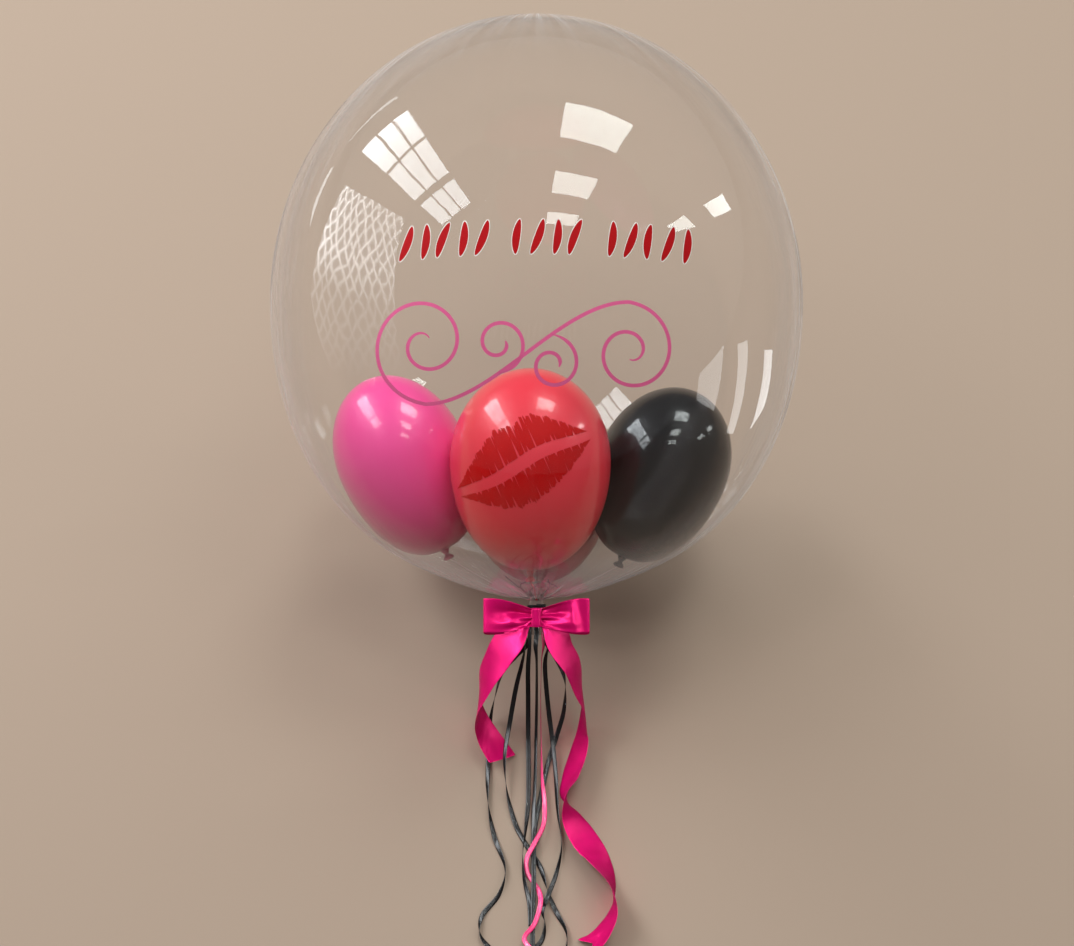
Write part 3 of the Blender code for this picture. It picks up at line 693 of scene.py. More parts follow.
def haze_share(tree):
    """How milky the film is at each place, from the slope of the wall, its streaks and its gathers."""
    where = parts_of(tree, add_node(tree, "Attribute", attribute_name="upright").outputs["Vector"])
    flat = add_node(tree, "CombineXYZ", {"X": where["X"], "Y": where["Y"]}).outputs["Vector"]
    around = add_node(tree, "VectorMath", {0: flat}, operation="NORMALIZE").outputs["Vector"]
    ring = parts_of(tree, around)
    drawn = math_value(tree, "MULTIPLY", where["Z"], STREAK_DRAW)
    along = add_node(tree, "CombineXYZ", {"X": ring["X"], "Y": ring["Y"], "Z": drawn}).outputs["Vector"]
    noisy = add_node(tree, "TexNoise", {"Vector": along, "Scale": STREAK_FINENESS, "Detail": 3.0})
    streaks = colour_ramp(tree, noisy.outputs["Fac"], [
        (0.44, 0.18), (0.49, 1.0), (0.515, 0.22), (0.61, 0.60), (0.68, 0.16)])
    slope = add_node(tree, "LayerWeight", {"Blend": 0.5}).outputs["Facing"]
    edge = colour_ramp(tree, slope, [(0.0, 0.003), (0.50, 0.012), (0.70, 0.15), (0.93, 0.50), (1.0, 0.34)])
    gathers = colour_ramp(tree, where["Z"], [(0.0, 0.05), (0.03, 0.03), (0.07, 0.0)])
    return math_value(tree, "ADD", math_value(tree, "MULTIPLY", streaks, edge), gathers)


def film_material():
    """Clear film with a little haze, and reflections that wander slightly."""
    made, tree, shader = new_material("clear_film", {
        "Base Color": (0.985, 0.985, 0.985), "Roughness": 0.012, "IOR": 1.32, "Transmission Weight": 1.0})
    add_bump(tree, shader, unevenness(tree, 5.0, 40.0, 0.02), 0.0022)
    milk = shader_of(tree, "BsdfTranslucent", HAZE_WHITE)
    chalk = shader_of(tree, "BsdfDiffuse", HAZE_WHITE)
    haze = shader_mix(tree, 0.5, milk, chalk)
    hazy_film = shader_mix(tree, haze_share(tree), shader.outputs["BSDF"], haze)
    passes = math_value(tree, "MAXIMUM", ray_is(tree, "Shadow"), ray_is(tree, "Diffuse"))
    clear = shader_of(tree, "BsdfTransparent", (0.95, 0.95, 0.95))
    show(tree, shader_mix(tree, passes, hazy_film, clear))
    return made


CLEAR_FILM = film_material()
film = piece("film_envelope", make_film(), CLEAR_FILM, replaces=["bubble"])
thicken(film, FILM_THICKNESS, offset=-1.0)
print("film faces:", len(film.data.polygons))

# %% [markdown]
# The small balloons are latex, blown up inside the bubble and knotted. Short strings hold them to the
# neck, so they stay crowded there, with the red one in front of the others. Each is an outline turned
# round its own axis: an egg whose belly runs down into a short stem with a rolled lip. The one behind
# is squashed between its neighbours and the film, so it is flatter than it is wide.

# %% Latex balloon mesh
STEM_RADIUS = 0.0032
LIP_RADIUS = 0.0050
LATEX_SEGMENTS = 96


def latex_outline(radius, crown, belly, taper):
    """Half outline of a latex balloon, from crown to rolled lip. A low taper makes it blunt below."""
    points = []
    for i in range(1, 31):
        angle = math.pi / 2 * i / 30
        points.append((radius * math.sin(angle), crown * math.cos(angle)))
    for i in range(1, 37):
        u = i / 36
        angle = math.pi / 2 * u * 0.955
        swell = radius * math.cos(angle) ** taper
        neck = STEM_RADIUS + (swell - STEM_RADIUS) * (1 - ease((u - 0.93) / 0.07) * 0.5)
        points.append((max(neck, STEM_RADIUS), -belly * math.sin(angle)))
    low = points[-1][1]
    stem = [(STEM_RADIUS * 1.25, 0.0022), (STEM_RADIUS * 0.8, 0.0042), (STEM_RADIUS * 0.72, 0.0056),
            (LIP_RADIUS * 0.85, 0.0072), (LIP_RADIUS * 1.12, 0.0088), (LIP_RADIUS * 1.16, 0.0102),
            (LIP_RADIUS * 0.95, 0.0114), (LIP_RADIUS * 0.6, 0.0117), (LIP_RADIUS * 0.35, 0.0108)]
    return points + [(reach, low - drop) for reach, drop in stem]


def make_latex_balloon(name, centre, neck_direction, size, finish, depth_share=1.0):
    """One balloon: centre is (across, toward, height), size is (radius, crown, belly, taper)."""
    outline = latex_outline(*size)
    last = len(outline) - 1
    angles = [2 * math.pi * k / LATEX_SEGMENTS for k in range(LATEX_SEGMENTS)]
    rows = [[Vector((radius * math.cos(a), radius * math.sin(a) * depth_share, height)) for a in angles]
            for radius, height in outline]
    mesh = mesh_from_rows(name, rows, closed_columns=True, uv=lambda i, k: (k / LATEX_SEGMENTS, i / last))
    close_ends(mesh, LATEX_SEGMENTS, [(0, (0, 0, size[1])), (last, (0, 0, outline[-1][1] + 0.001))])
    across, toward, height = centre
    place_of_centre = Vector((across, -toward, height))
    neck = Vector((neck_direction[0], -neck_direction[1], neck_direction[2])).normalized()
    turn = Vector((0, 0, -1)).rotation_difference(neck).to_matrix().to_4x4()
    mesh.transform(Matrix.Translation(place_of_centre) @ turn)
    return piece(name, mesh, finish), place_of_centre - neck * outline[-1][1]


# %% Latex finish
def latex_material(name, stretched, middle, gathered, specular=0.35, coat_roughness=0.035):
    """Glossy latex: paler where it is stretched most, deeper towards the neck."""
    made, tree, shader = new_material(name, {
        "Roughness": 0.34, "Specular IOR Level": specular, "Coat Weight": 0.65,
        "Coat Roughness": coat_roughness})
    along = parts_of(tree, uv_map(tree))["Y"]
    add_colour(tree, shader, colour_ramp(tree, along, [
        (0.0, stretched), (0.35, stretched), (0.70, middle), (1.0, gathered)]))
    add_bump(tree, shader, unevenness(tree, 14.0, 60.0, 0.05), 0.0007)
    return made


PINK_LATEX = latex_material("pink_latex", (0.86, 0.070, 0.30), (0.66, 0.022, 0.17), (0.38, 0.012, 0.07))
RED_LATEX = latex_material("red_latex", (0.78, 0.035, 0.060), (0.66, 0.012, 0.020), (0.48, 0.007, 0.010))
BLACK_LATEX = latex_material("black_latex", (0.004, 0.004, 0.005), (0.003, 0.003, 0.003),
                             (0.002, 0.002, 0.002), 0.10, 0.02)
DUSKY_LATEX = latex_material("dusky_latex", (0.52, 0.04, 0.055), (0.42, 0.03, 0.04), (0.28, 0.02, 0.025))

# %% The four balloons
RED_CENTRE = (-0.0064, 0.040, 0.1514)
RED_SIZE = (0.0842, 0.0973, 0.1150, 0.96)
red_balloon, red_lip = make_latex_balloon(
    "red_balloon", RED_CENTRE, (0.0, 0.0, -1.0), RED_SIZE, RED_LATEX)
pink_balloon, pink_lip = make_latex_balloon(
    "pink_balloon", (-0.1436, -0.030, 0.1546), (0.42, 0.02, -0.90), (0.0703, 0.0926, 0.1080, 0.86),
    PINK_LATEX)
black_balloon, black_lip = make_latex_balloon(
    "black_balloon", (0.1356, -0.028, 0.1464), (-0.41, 0.02, -0.91), (0.0701, 0.0869, 0.1072, 0.88),
    BLACK_LATEX)
dusky_balloon = make_latex_balloon(
    "dusky_balloon", (0.0000, -0.112, 0.1300), (0.03, 0.58, -0.81), (0.0800, 0.0800, 0.1280, 0.96),
    DUSKY_LATEX, 0.72)[0]


def furthest_out(made):
    """How far a balloon's skin comes out of the bubble's inside face. Below 0 it is inside."""
    worst = -1.0
    to_upright = UPRIGHT.inverted()
    for vert in made.data.vertices:
        spot = to_upright @ vert.co
        worst = max(worst, math.hypot(spot.x, spot.y) - skin_radius_at(spot.z) + FILM_THICKNESS)
    return worst


for made in (red_balloon, pink_balloon, black_balloon, dusky_balloon):
    print(made.name, "is furthest out by", round(furthest_out(made) * 1000, 1), "mm")

# %% [markdown]
# The lip print is cut vinyl on the red balloon. It is a generic pair of lips: two bands that swell
# towards the middle and meet in points. Real lips print their creases as fine wedges that bite in from
# each edge, so every edge is a smooth line with many narrow wedges taken out of it. Each band is a
# grid of very narrow columns laid over the balloon's own curve, a hair proud of it.

# %% Lip print
PRINT_CENTRE = (-0.0138, 0.1498)     # across and height over the tie
PRINT_HALF_WIDTH = 0.0732
PRINT_TILT = math.radians(24)
PRINT_PROUD = 0.00035
PRINT_COLUMNS = 900


def latex_front(across, height):
    """The red balloon's front, in the balloon's frame, at a place seen from the front."""
    radius, crown, belly, taper = RED_SIZE
    rise = height - RED_CENTRE[2]
    if rise >= 0:
        ring = radius * math.sqrt(max(0.0, 1 - (rise / crown) ** 2))
    else:
        ring = radius * math.cos(math.asin(min(1.0, -rise / belly))) ** taper
    toward = math.sqrt(max(0.0, ring**2 - (across - RED_CENTRE[0]) ** 2)) + RED_CENTRE[1]
    out = Vector((across - RED_CENTRE[0], -toward, rise * (radius / (crown if rise > 0 else belly)) ** 2))
    return Vector((across, -toward, height)) + out.normalized() * PRINT_PROUD


def random_at(n, seed):
    """A repeatable number from 0 to 1 for the n-th of something."""
    return 0.5 + 0.5 * math.sin(12.9898 * (n + 1) + 78.233 * seed + 2.1 * math.sin(4.1 * n + seed))


def wedges(u, count, seed, depth):
    """Depth of the creases cut into a lip's edge at u."""
    deepest = 0.0
    for n in range(count):
        middle = -0.95 + 1.9 * (n + 0.2 + 0.6 * random_at(n, seed)) / count
        size = depth * (0.25 + 0.75 * random_at(n, seed + 3) ** 2)
        width = 0.0060 + 0.0110 * random_at(n, seed + 7)
        deepest = max(deepest, size * max(0.0, 1 - abs(u - middle) / width) ** 0.8)
    return deepest


def ragged(u, seed, size):
    """The small unevenness of an edge."""
    slow = noise.noise(Vector((u * 17, seed, 0.0)))
    return size * (slow + 0.6 * noise.noise(Vector((u * 60, seed, 4.0))))


def fullness(u, point):
    """1 in the middle of a lip and 0 at its corners, with the corners drawn out to points."""
    return max(0.0, 1 - abs(u) ** point) ** 1.15


def upper_lip(u):
    """Lower and upper edge of the upper lip at u, in shares of the print's half width."""
    body = fullness(u, 2.0)
    low = 0.035 + (0.030 + 0.070 * math.sin(2.6 * u + 0.4)) * body
    high = low + 0.55 * body - 0.10 * math.exp(-((u - 0.06) / 0.15) ** 2) * body
    low += (wedges(u, 18, 1.0, 0.34) + abs(ragged(u, 11.0, 0.02))) * body
    high += (ragged(u, 3.0, 0.030) - wedges(u, 30, 2.0, 0.22) - 0.035 * abs(math.sin(17.0 * u))) * body
    return min(low, high), max(low, high)


def lower_lip(u):
    """Lower and upper edge of the lower lip at u."""
    body = fullness(u, 1.9)
    high = -0.085 + (-0.030 + 0.070 * math.sin(2.6 * u + 0.4)) * body
    low = high - 0.49 * body
    high -= (wedges(u, 18, 4.0, 0.30) + abs(ragged(u, 12.0, 0.02))) * body
    low += (ragged(u, 6.0, 0.030) + wedges(u, 28, 7.0, 0.20) + 0.035 * abs(math.sin(15.0 * u + 0.8))) * body
    return min(low, high), max(low, high)


def print_mesh(name, edges, rows_across=5):
    """One lip as a grid that follows the balloon's curve."""
    rows = []
    for i in range(PRINT_COLUMNS + 1):
        u = -1 + 2 * i / PRINT_COLUMNS
        low, high = edges(u)
        row = []
        for k in range(rows_across + 1):
            v = low + (high - low) * k / rows_across
            x, y = u * PRINT_HALF_WIDTH, v * PRINT_HALF_WIDTH
            row.append(latex_front(
                PRINT_CENTRE[0] + x * math.cos(PRINT_TILT) - y * math.sin(PRINT_TILT),
                PRINT_CENTRE[1] + x * math.sin(PRINT_TILT) + y * math.cos(PRINT_TILT)))
        rows.append(row)
    return mesh_from_rows(name, rows, uv=lambda i, k: (i / PRINT_COLUMNS, k / rows_across))


def vinyl_material(name, colour, roughness, specular=0.4):
    """Thin cut vinyl or print, nearly flat in colour, with a faint mottle."""
    made, tree, shader = new_material(name, {"Roughness": roughness, "Specular IOR Level": specular})
    mottle = unevenness(tree, 60.0, 500.0, 0.5)
    darker = tuple(0.86 * c for c in colour)
    add_colour(tree, shader, colour_ramp(tree, mottle, [(0.3, darker), (0.7, colour)]))
    add_bump(tree, shader, mottle, 0.0001)
    return made


RED_PRINT = vinyl_material("lip_print_red", (0.52, 0.002, 0.003), 0.5, 0.10)
RED_VINYL = vinyl_material("stroke_red", (0.42, 0.003, 0.006), 0.5, 0.12)
PINK_VINYL = vinyl_material("scroll_pink", (0.76, 0.12, 0.30), 0.35)
piece("lip_print_upper", print_mesh("lip_print_upper", upper_lip), RED_PRINT)
piece("lip_print_lower", print_mesh("lip_print_lower", lower_lip), RED_PRINT)

# %% [markdown]
# The front of the bubble carries decoration cut from thin vinyl. Here it is a row of plain leaf-shaped
# strokes in red, each on a slightly larger pale backing, and under it a pink scroll: two volutes
# joined by a long curve, with two small tendrils. Each is a narrow band on the film's outside.

# %% Strokes on the film
VINYL_PROUD = 0.0003
STROKE_HEIGHT = 0.034
STROKE_WIDTH = 0.0072
STROKE_EDGE = 0.0007
STROKE_GROUPS = ((-0.1270, 5), (-0.0180, 4), (0.0720, 5))   # left end and number of strokes
STROKE_STEP = 0.0185
STROKE_MIDDLE = 0.3665               # height over the tie


def film_front(across, height, proud=VINYL_PROUD):
    """The film's front, a hair proud, at a place seen from the front."""
    ring = skin_radius_at(height)
    toward = math.sqrt(max(0.0, ring**2 - across**2))
    out = Vector((across, -toward, (height - RING_HEIGHT) * 0.85))
    return Vector((across, -toward, height)) + out.normalized() * proud


def film_band(name, points, half_widths, proud=VINYL_PROUD):
    """A narrow band on the film through (across, height) points."""
    rows = []
    for i, ((x, z), half) in enumerate(zip(points, half_widths)):
        (xa, za), (xb, zb) = points[max(i - 1, 0)], points[min(i + 1, len(points) - 1)]
        length = math.hypot(xb - xa, zb - za)
        side = (-(zb - za) / length, (xb - xa) / length)
        rows.append([film_front(x + side[0] * half * v, z + side[1] * half * v, proud)
                     for v in (-1, -0.5, 0, 0.5, 1)])
    return mesh_from_rows(name, rows, uv=lambda i, k: (k / 4, i / len(points)))


def stroke_points(middle, number, stretch):
    """Centre line and half widths of one leaf-shaped stroke."""
    lean = 0.0062 if number % 2 else 0.0022
    bend = 0.0016 if number % 3 else -0.0014
    points, halves = [], []
    for i in range(25):
        u = -1 + 2 * i / 24
        rise = (STROKE_HEIGHT / 2 + stretch) * u
        points.append((middle + lean * u + bend * (1 - u * u), STROKE_MIDDLE - 0.30 * middle**2 + rise))
        halves.append(STROKE_WIDTH / 2 * max(0.0, 1 - u * u) ** 0.65 + 0.0002 + stretch)
    return points, halves


PALE_VINYL = vinyl_material("stroke_backing", (0.80, 0.74, 0.70), 0.45)
stroke_number = 0
for left_end, count in STROKE_GROUPS:
    for n in range(count):
        stroke_number += 1
        middle = left_end + n * STROKE_STEP
        points, halves = stroke_points(middle, stroke_number, 0.0)
        piece(f"stroke_{stroke_number:02d}", film_band("stroke", points, halves), RED_VINYL)
        points, halves = stroke_points(middle, stroke_number, STROKE_EDGE)
        piece(f"stroke_backing_{stroke_number:02d}", film_band("backing", points, halves, VINYL_PROUD / 2),
              PALE_VINYL)
print("strokes:", stroke_number)

# %% Scroll on the film
SCROLL_WIDTH = 0.0036
LEFT_VOLUTE = (-0.1080, 0.2640, 0.0580)      # across, height over the tie, outer radius
RIGHT_VOLUTE = (0.0900, 0.2560, 0.0480)
TENDRIL_RADIUS = 0.0290
VOLUTE_EYE = 0.007


def volute(across, height, outer, inner, start, turns):
    """A spiral from its outer radius inward. Positive turns run anticlockwise."""
    count = 160
    points = []
    for i in range(count + 1):
        u = i / count
        radius = outer + (inner - outer) * u ** 0.85
        angle = start + 2 * math.pi * turns * u
        points.append((across + radius * math.cos(angle), height + radius * math.sin(angle)))
    return points


def joining_curve(u):
    """The long curve from under the left volute to over the right one."""
    low = LEFT_VOLUTE[1] - LEFT_VOLUTE[2]
    high = RIGHT_VOLUTE[1] + RIGHT_VOLUTE[2]
    return LEFT_VOLUTE[0] + (RIGHT_VOLUTE[0] - LEFT_VOLUTE[0]) * u, low + (high - low) * ease(u)


def scroll_piece(name, points):
    """A line of the scroll, tapered to both ends."""
    last = len(points) - 1
    halves = [SCROLL_WIDTH / 2 * min(1.0, 0.3 + 9 * min(i, last - i) / last) for i in range(last + 1)]
    return piece(name, film_band(name, points, halves), PINK_VINYL)


left_spiral = volute(*LEFT_VOLUTE, VOLUTE_EYE, -math.pi / 2, -1.6)
right_spiral = volute(*RIGHT_VOLUTE, VOLUTE_EYE, math.pi / 2, -1.5)
joining = [joining_curve(i / 120) for i in range(1, 120)]
scroll_piece("scroll_main", left_spiral[::-1] + joining + right_spiral)
for n, (share, sense) in enumerate(((0.36, 1), (0.62, -1))):
    across, height = joining_curve(share)
    tendril = volute(across, height + sense * TENDRIL_RADIUS, TENDRIL_RADIUS, VOLUTE_EYE,
                     -sense * math.pi / 2, sense * 1.3)
    scroll_piece(f"scroll_tendril_{n}", tendril)
print("scroll reaches", [round(v, 3) for v in (min(left_spiral)[0], max(right_spiral)[0])])

# %% [markdown]
# Thin black strings tie the small balloons into the neck, where the film is gathered over them, and
# two pale threads of latex are drawn out from their knots. Round strings are curves with a bevel,
# which stay smooth with few points. Beside them the film folds into two petals over the tie. Their pink
# is painted light: the colour that the balloons above cast into the clear film.

# %% Strings inside the neck
STRING_RADIUS = 0.0007


def string(name, points, finish, radius=STRING_RADIUS):
    """A thin round string through points in the balloon's frame."""
    curve = bpy.data.curves.new(name, "CURVE")
    curve.dimensions = "3D"
    curve.bevel_depth = radius
    curve.bevel_resolution = 3
    curve.use_fill_caps = True
    curve.resolution_u = 10
    spline = curve.splines.new("BEZIER")
    spline.bezier_points.add(len(points) - 1)
    for handle, point in zip(spline.bezier_points, points):
        handle.co = UPRIGHT @ point
        handle.handle_left_type = handle.handle_right_type = "AUTO"
    curve.materials.append(finish)
    made = bpy.data.objects.new(name, curve)
    bpy.context.scene.collection.objects.link(made)
    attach(made, BODY)
    return made


def elastic_material():
    """Matt black elastic with a fine grain."""
    made, tree, shader = new_material("black_elastic", {
        "Base Color": (0.010, 0.010, 0.011), "Roughness": 0.5, "Specular IOR Level": 0.4})
    add_bump(tree, shader, unevenness(tree, 400.0, 2500.0, 0.5), 0.0002)
    return made


BLACK_ELASTIC = elastic_material()
GATHER = Vector((0.0, 0.0, 0.0045))
STRINGS = {
    "string_left": [(-0.033, 0.010, 0.029), (-0.020, -0.002, 0.019), (-0.010, -0.003, 0.012)],
    "string_inner_left": [(-0.010, 0.004, 0.024), (-0.017, -0.004, 0.019), (-0.007, -0.003, 0.010)],
    "string_middle": [(-0.001, -0.001, 0.019), (-0.007, -0.005, 0.013), (-0.004, -0.003, 0.009)],
    "string_inner_right": [(0.012, 0.006, 0.026), (0.0135, -0.003, 0.019), (0.005, -0.003, 0.010)],
    "string_right": [(0.011, 0.004, 0.024), (0.023, 0.000, 0.014), (0.011, -0.002, 0.009)],
}
for string_name, string_points in STRINGS.items():
    string(string_name, [Vector(p) for p in string_points] + [GATHER], BLACK_ELASTIC)
string("string_red", [red_lip, Vector((-0.002, -0.012, 0.015)), GATHER], RED_LATEX, 0.0010)
PALE_THREAD = new_material("pale_thread", {"Base Color": (0.72, 0.52, 0.52), "Roughness": 0.5})[0]
THREAD_RADIUS = 0.0003
for thread_name, knot_at in (("thread_left", pink_lip), ("thread_right", black_lip)):
    sagging = knot_at.lerp(GATHER, 0.55) - Vector((0.0, 0.0, 0.004))
    string(thread_name, [knot_at, sagging, GATHER], PALE_THREAD, THREAD_RADIUS)
print("strings:", len(STRINGS) + 3)


# %% Petals of gathered film
# painted light: the pink base colour stands in for the balloons' colour cast into the clear gathered film
PETAL_FILM = new_material("petal_film", {
    "Base Color": (0.97, 0.66, 0.72), "Roughness": 0.22, "IOR": 1.15, "Transmission Weight": 0.72})[0]
PETALS = {                           # (across, height over the tie, half height) from neck to tip
    "petal_left": (-1, ((0.004, 0.0045, 0.0010), (0.018, 0.0107, 0.0040), (0.030, 0.0165, 0.0066),
                        (0.039, 0.0205, 0.0078), (0.045, 0.0200, 0.0056), (0.048, 0.0185, 0.0010))),
    "petal_right": (1, ((0.004, 0.0045, 0.0010), (0.014, 0.0090, 0.0022), (0.025, 0.0125, 0.0021),
                        (0.036, 0.0150, 0.0034), (0.046, 0.0168, 0.0040), (0.050, 0.0168, 0.0010))),
}
ACROSS_PETAL = (-1, -0.75, -0.5, -0.25, 0, 0.25, 0.5, 0.75, 1)
for petal_name, (side, petal_stations) in PETALS.items():
    rows = []
    for n, (across, height, half) in enumerate(petal_stations):
        toward = 0.004 + 0.0012 * n
        rows.append([Vector((side * across, -toward - 0.0009 * math.sin(4 * math.pi * v), height + half * v))
                     for v in ACROSS_PETAL])
    petal = piece(petal_name, mesh_from_rows(petal_name, rows), PETAL_FILM)
    thicken(petal, 0.0003)
    soften(petal, 2)
print("petals:", len(PETALS))

# %% [markdown]
# The neck is closed by two turns of thin black elastic. One winding line, turned into a round tube,
# gives both turns and the small step between them.

# %% Tie
TIE_TURNS = 2
TIE_CORD_RADIUS = 0.00085
TIE_TOP = -0.0008
TIE_STEP = 0.0015
tie_points = []
for i in range(TIE_TURNS * 16 + 1):
    turn = 2 * math.pi * i / 16
    reach = WAIST_RADIUS + TIE_CORD_RADIUS + 0.0006 + 0.0004 * math.sin(turn * 0.37)
    tie_points.append(Vector((reach * math.sin(turn), reach * math.cos(turn), TIE_TOP - TIE_STEP * i / 16)))
tie = string("neck_winding", tie_points, BLACK_ELASTIC, TIE_CORD_RADIUS)
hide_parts("neck_tie")

# %% [markdown]
# The bow is one length of satin ribbon, 38 mm wide. Cloth simulation could drape it, but the folds that
# a tied bow shows are set by the knot, not by weight. So each part is a band laid along its own
# line, and folds that spread from the knot are pushed into it as a function of the place on the band.
# Its mirror image in the film would cover what is inside the neck, so for mirrored rays satin is clear.

# %% Satin finish
def satin_material():
    """Satin: broad soft highlights in the ribbon's own colour, over a very fine weave."""
    made, tree, shader = new_material("pink_satin", {
        "Metallic": 0.5, "Roughness": 0.32, "Specular IOR Level": 0.6, "Anisotropic": 0.3,
        "Specular Tint": (1.0, 0.55, 0.45), "Sheen Weight": 0.08, "Sheen Roughness": 0.35,
        "Sheen Tint": (1.0, 0.25, 0.55)})
    where = uv_map(tree)
    weave = add_node(tree, "TexWave", {"Vector": where, "Scale": 900.0, "Distortion": 0.6},
                     bands_direction="Y").outputs["Fac"]
    soft = add_node(tree, "TexNoise", {"Vector": where, "Scale": 40.0}).outputs["Fac"]
    add_colour(tree, shader, colour_ramp(tree, soft, [
        (0.25, (0.62, 0.0, 0.12)), (0.75, (0.80, 0.002, 0.17))]))
    add_bump(tree, shader, weave, 0.00002)
    clear = shader_of(tree, "BsdfTransparent")
    show(tree, shader_mix(tree, ray_is_mirrored(tree), shader.outputs["BSDF"], clear))
    return made


SATIN = satin_material()
SATIN_WIDTH = 0.0375
SATIN_THICKNESS = 0.0004
KNOT_WIDTH = 0.0115
KNOT_HEIGHT = 0.0200
KNOT_DEPTH = 0.0100
KNOT_DROP = 0.0135
LOOP_REACH = 0.0560
LOOP_DEPTH = 0.0150
WRAP_INSIDE = math.hypot(STUB_OUTSIDE + STRAND_GAP + 0.0004, CURL_WIDTH / 2) + 0.0004
KNOT_TOWARD = WRAP_INSIDE + 0.0006 + KNOT_DEPTH / 2


# %% Bow loops
LOOP_ROWS = 72
LOOP_COLUMNS = 18


def hump(height, along, down=0.0):
    """A soft hump, or a hollow where the height is below 0, at a distance from its middle in spreads."""
    return height * math.exp(-along ** 2 - down ** 2)


def loop_point(side, s, v):
    """A point on one loop: s runs 0 to 1 out along the front and back behind, v is -1 to 1 downward."""
    angle = 2 * math.pi * s
    reach = LOOP_REACH / 2 * (1 - math.cos(angle))
    share = min(1.0, reach / (LOOP_REACH * 0.84))
    swell = math.sin(angle) * (0.30 + 0.70 * math.sin(angle / 2) ** 2)
    toward = KNOT_TOWARD + LOOP_DEPTH / 2 * swell
    half = hermite(0.0080, SATIN_WIDTH / 2 - 0.0008, 0.012, 0.0, share)
    front = 1.0 if s < 0.5 else 0.0
    fold = 0.0022 * math.cos(math.pi * (1.9 * v + 0.15 * side)) + 0.0011 * math.cos(math.pi * 3.7 * v)
    fold *= 1 - ease(share)
    dimple = hump(-0.0048, (reach - 0.022) / 0.009, (v + 0.30) / 0.34)
    dimple += hump(0.0030, (reach - 0.029) / 0.012, (v - 0.42) / 0.30)
    if side < 0:
        dimple += hump(-0.0042, (reach - 0.036) / 0.010, (v + 0.25) / 0.50)
        dimple += hump(0.0020, (reach - 0.024 + 0.010 * (v - 0.3)) / 0.006)
    else:
        dimple += hump(0.0030, (reach - 0.037 - 0.004 * v) / 0.0055)
        dimple += hump(-0.0024, (reach - 0.047 - 0.003 * v) / 0.0055)
    dimple *= front
    behind = ease((s - 0.45) / 0.15)
    drop = KNOT_DROP - 0.0020 * share + half * v + 0.0030 * behind * share * max(0.0, v)
    droop = 0.0012 * share * math.cos(math.pi * v)
    return place(side * reach, drop + droop * 0.3, toward + fold + dimple)


def make_loop(side, label):
    """One loop of the bow as a sheet."""
    rows = [[loop_point(side, 0.02 + 0.96 * i / LOOP_ROWS, -1 + 2 * k / LOOP_COLUMNS)
             for k in range(LOOP_COLUMNS + 1)] for i in range(LOOP_ROWS + 1)]
    middle = [row[LOOP_COLUMNS // 2] for row in rows]
    length = sum((b - a).length for a, b in zip(middle, middle[1:]))
    mesh = mesh_from_rows(label, rows, uv=lambda i, k: (
        k / LOOP_COLUMNS * SATIN_WIDTH, i / LOOP_ROWS * length))
    made = piece(label, mesh, SATIN, upright=False, replaces=["satin_bow"])
    thicken(made, SATIN_THICKNESS)
    soften(made)
    print(label, "is", round(length * 1000), "mm long")
    return made


# %% [markdown]
# The knot is the ribbon's crossing turn: a narrow band wound once round the middle, gathered into
# lengthwise folds and pinched a little at its waist. Behind it the ribbon goes round the neck.

# %% Knot and wrap
def make_knot():
    """The crossing turn, as a closed band with folds."""
    rows = []
    steps, columns = 48, 14
    for j in range(columns + 1):
        v = -1 + 2 * j / columns
        ring = []
        for k in range(steps):
            angle = 2 * math.pi * k / steps
            c, s = math.cos(angle), math.sin(angle)
            pinch = 0.93 + 0.07 * v * v - 0.12 * abs(v) ** 8
            folds = 1 + 0.085 * math.cos(9 * angle + 0.9 * v)
            x = math.copysign(abs(c) ** 0.62, c) * KNOT_WIDTH / 2 * pinch * folds
            t = math.copysign(abs(s) ** 0.62, s) * KNOT_DEPTH / 2 * pinch * folds
            ring.append(place(x, KNOT_DROP + v * KNOT_HEIGHT / 2, KNOT_TOWARD + t))
        rows.append(ring)
    mesh = mesh_from_rows("bow_knot", rows, closed_columns=True,
                          uv=lambda i, k: (i / columns * KNOT_HEIGHT, k / steps * 0.04))
    made = piece("bow_knot", mesh, SATIN, upright=False)
    thicken(made, SATIN_THICKNESS)
    soften(made)
    return made


def make_wrap():
    """The turn of ribbon round the gathered neck and the ribbons that lie along it."""
    rows = []
    for i in range(49):
        angle = 2 * math.pi * i / 48
        row = []
        for k in range(9):
            v = -1 + 2 * k / 8
            radius = WRAP_INSIDE + 0.0005 + 0.0004 * math.cos(5 * v + 3 * math.sin(angle))
            row.append(place(radius * math.sin(angle), KNOT_DROP + v * 0.0062, radius * math.cos(angle)))
        rows.append(row)
    mesh = mesh_from_rows("bow_wrap", rows, uv=lambda i, k: (k / 8 * 0.012, i / 48 * 0.07))
    made = piece("bow_wrap", mesh, SATIN, upright=False)
    thicken(made, SATIN_THICKNESS)
    return made


knot = make_knot()
wrap = make_wrap()
left_loop = make_loop(-1, "bow_left_loop")
right_loop = make_loop(1, "bow_right_loop")
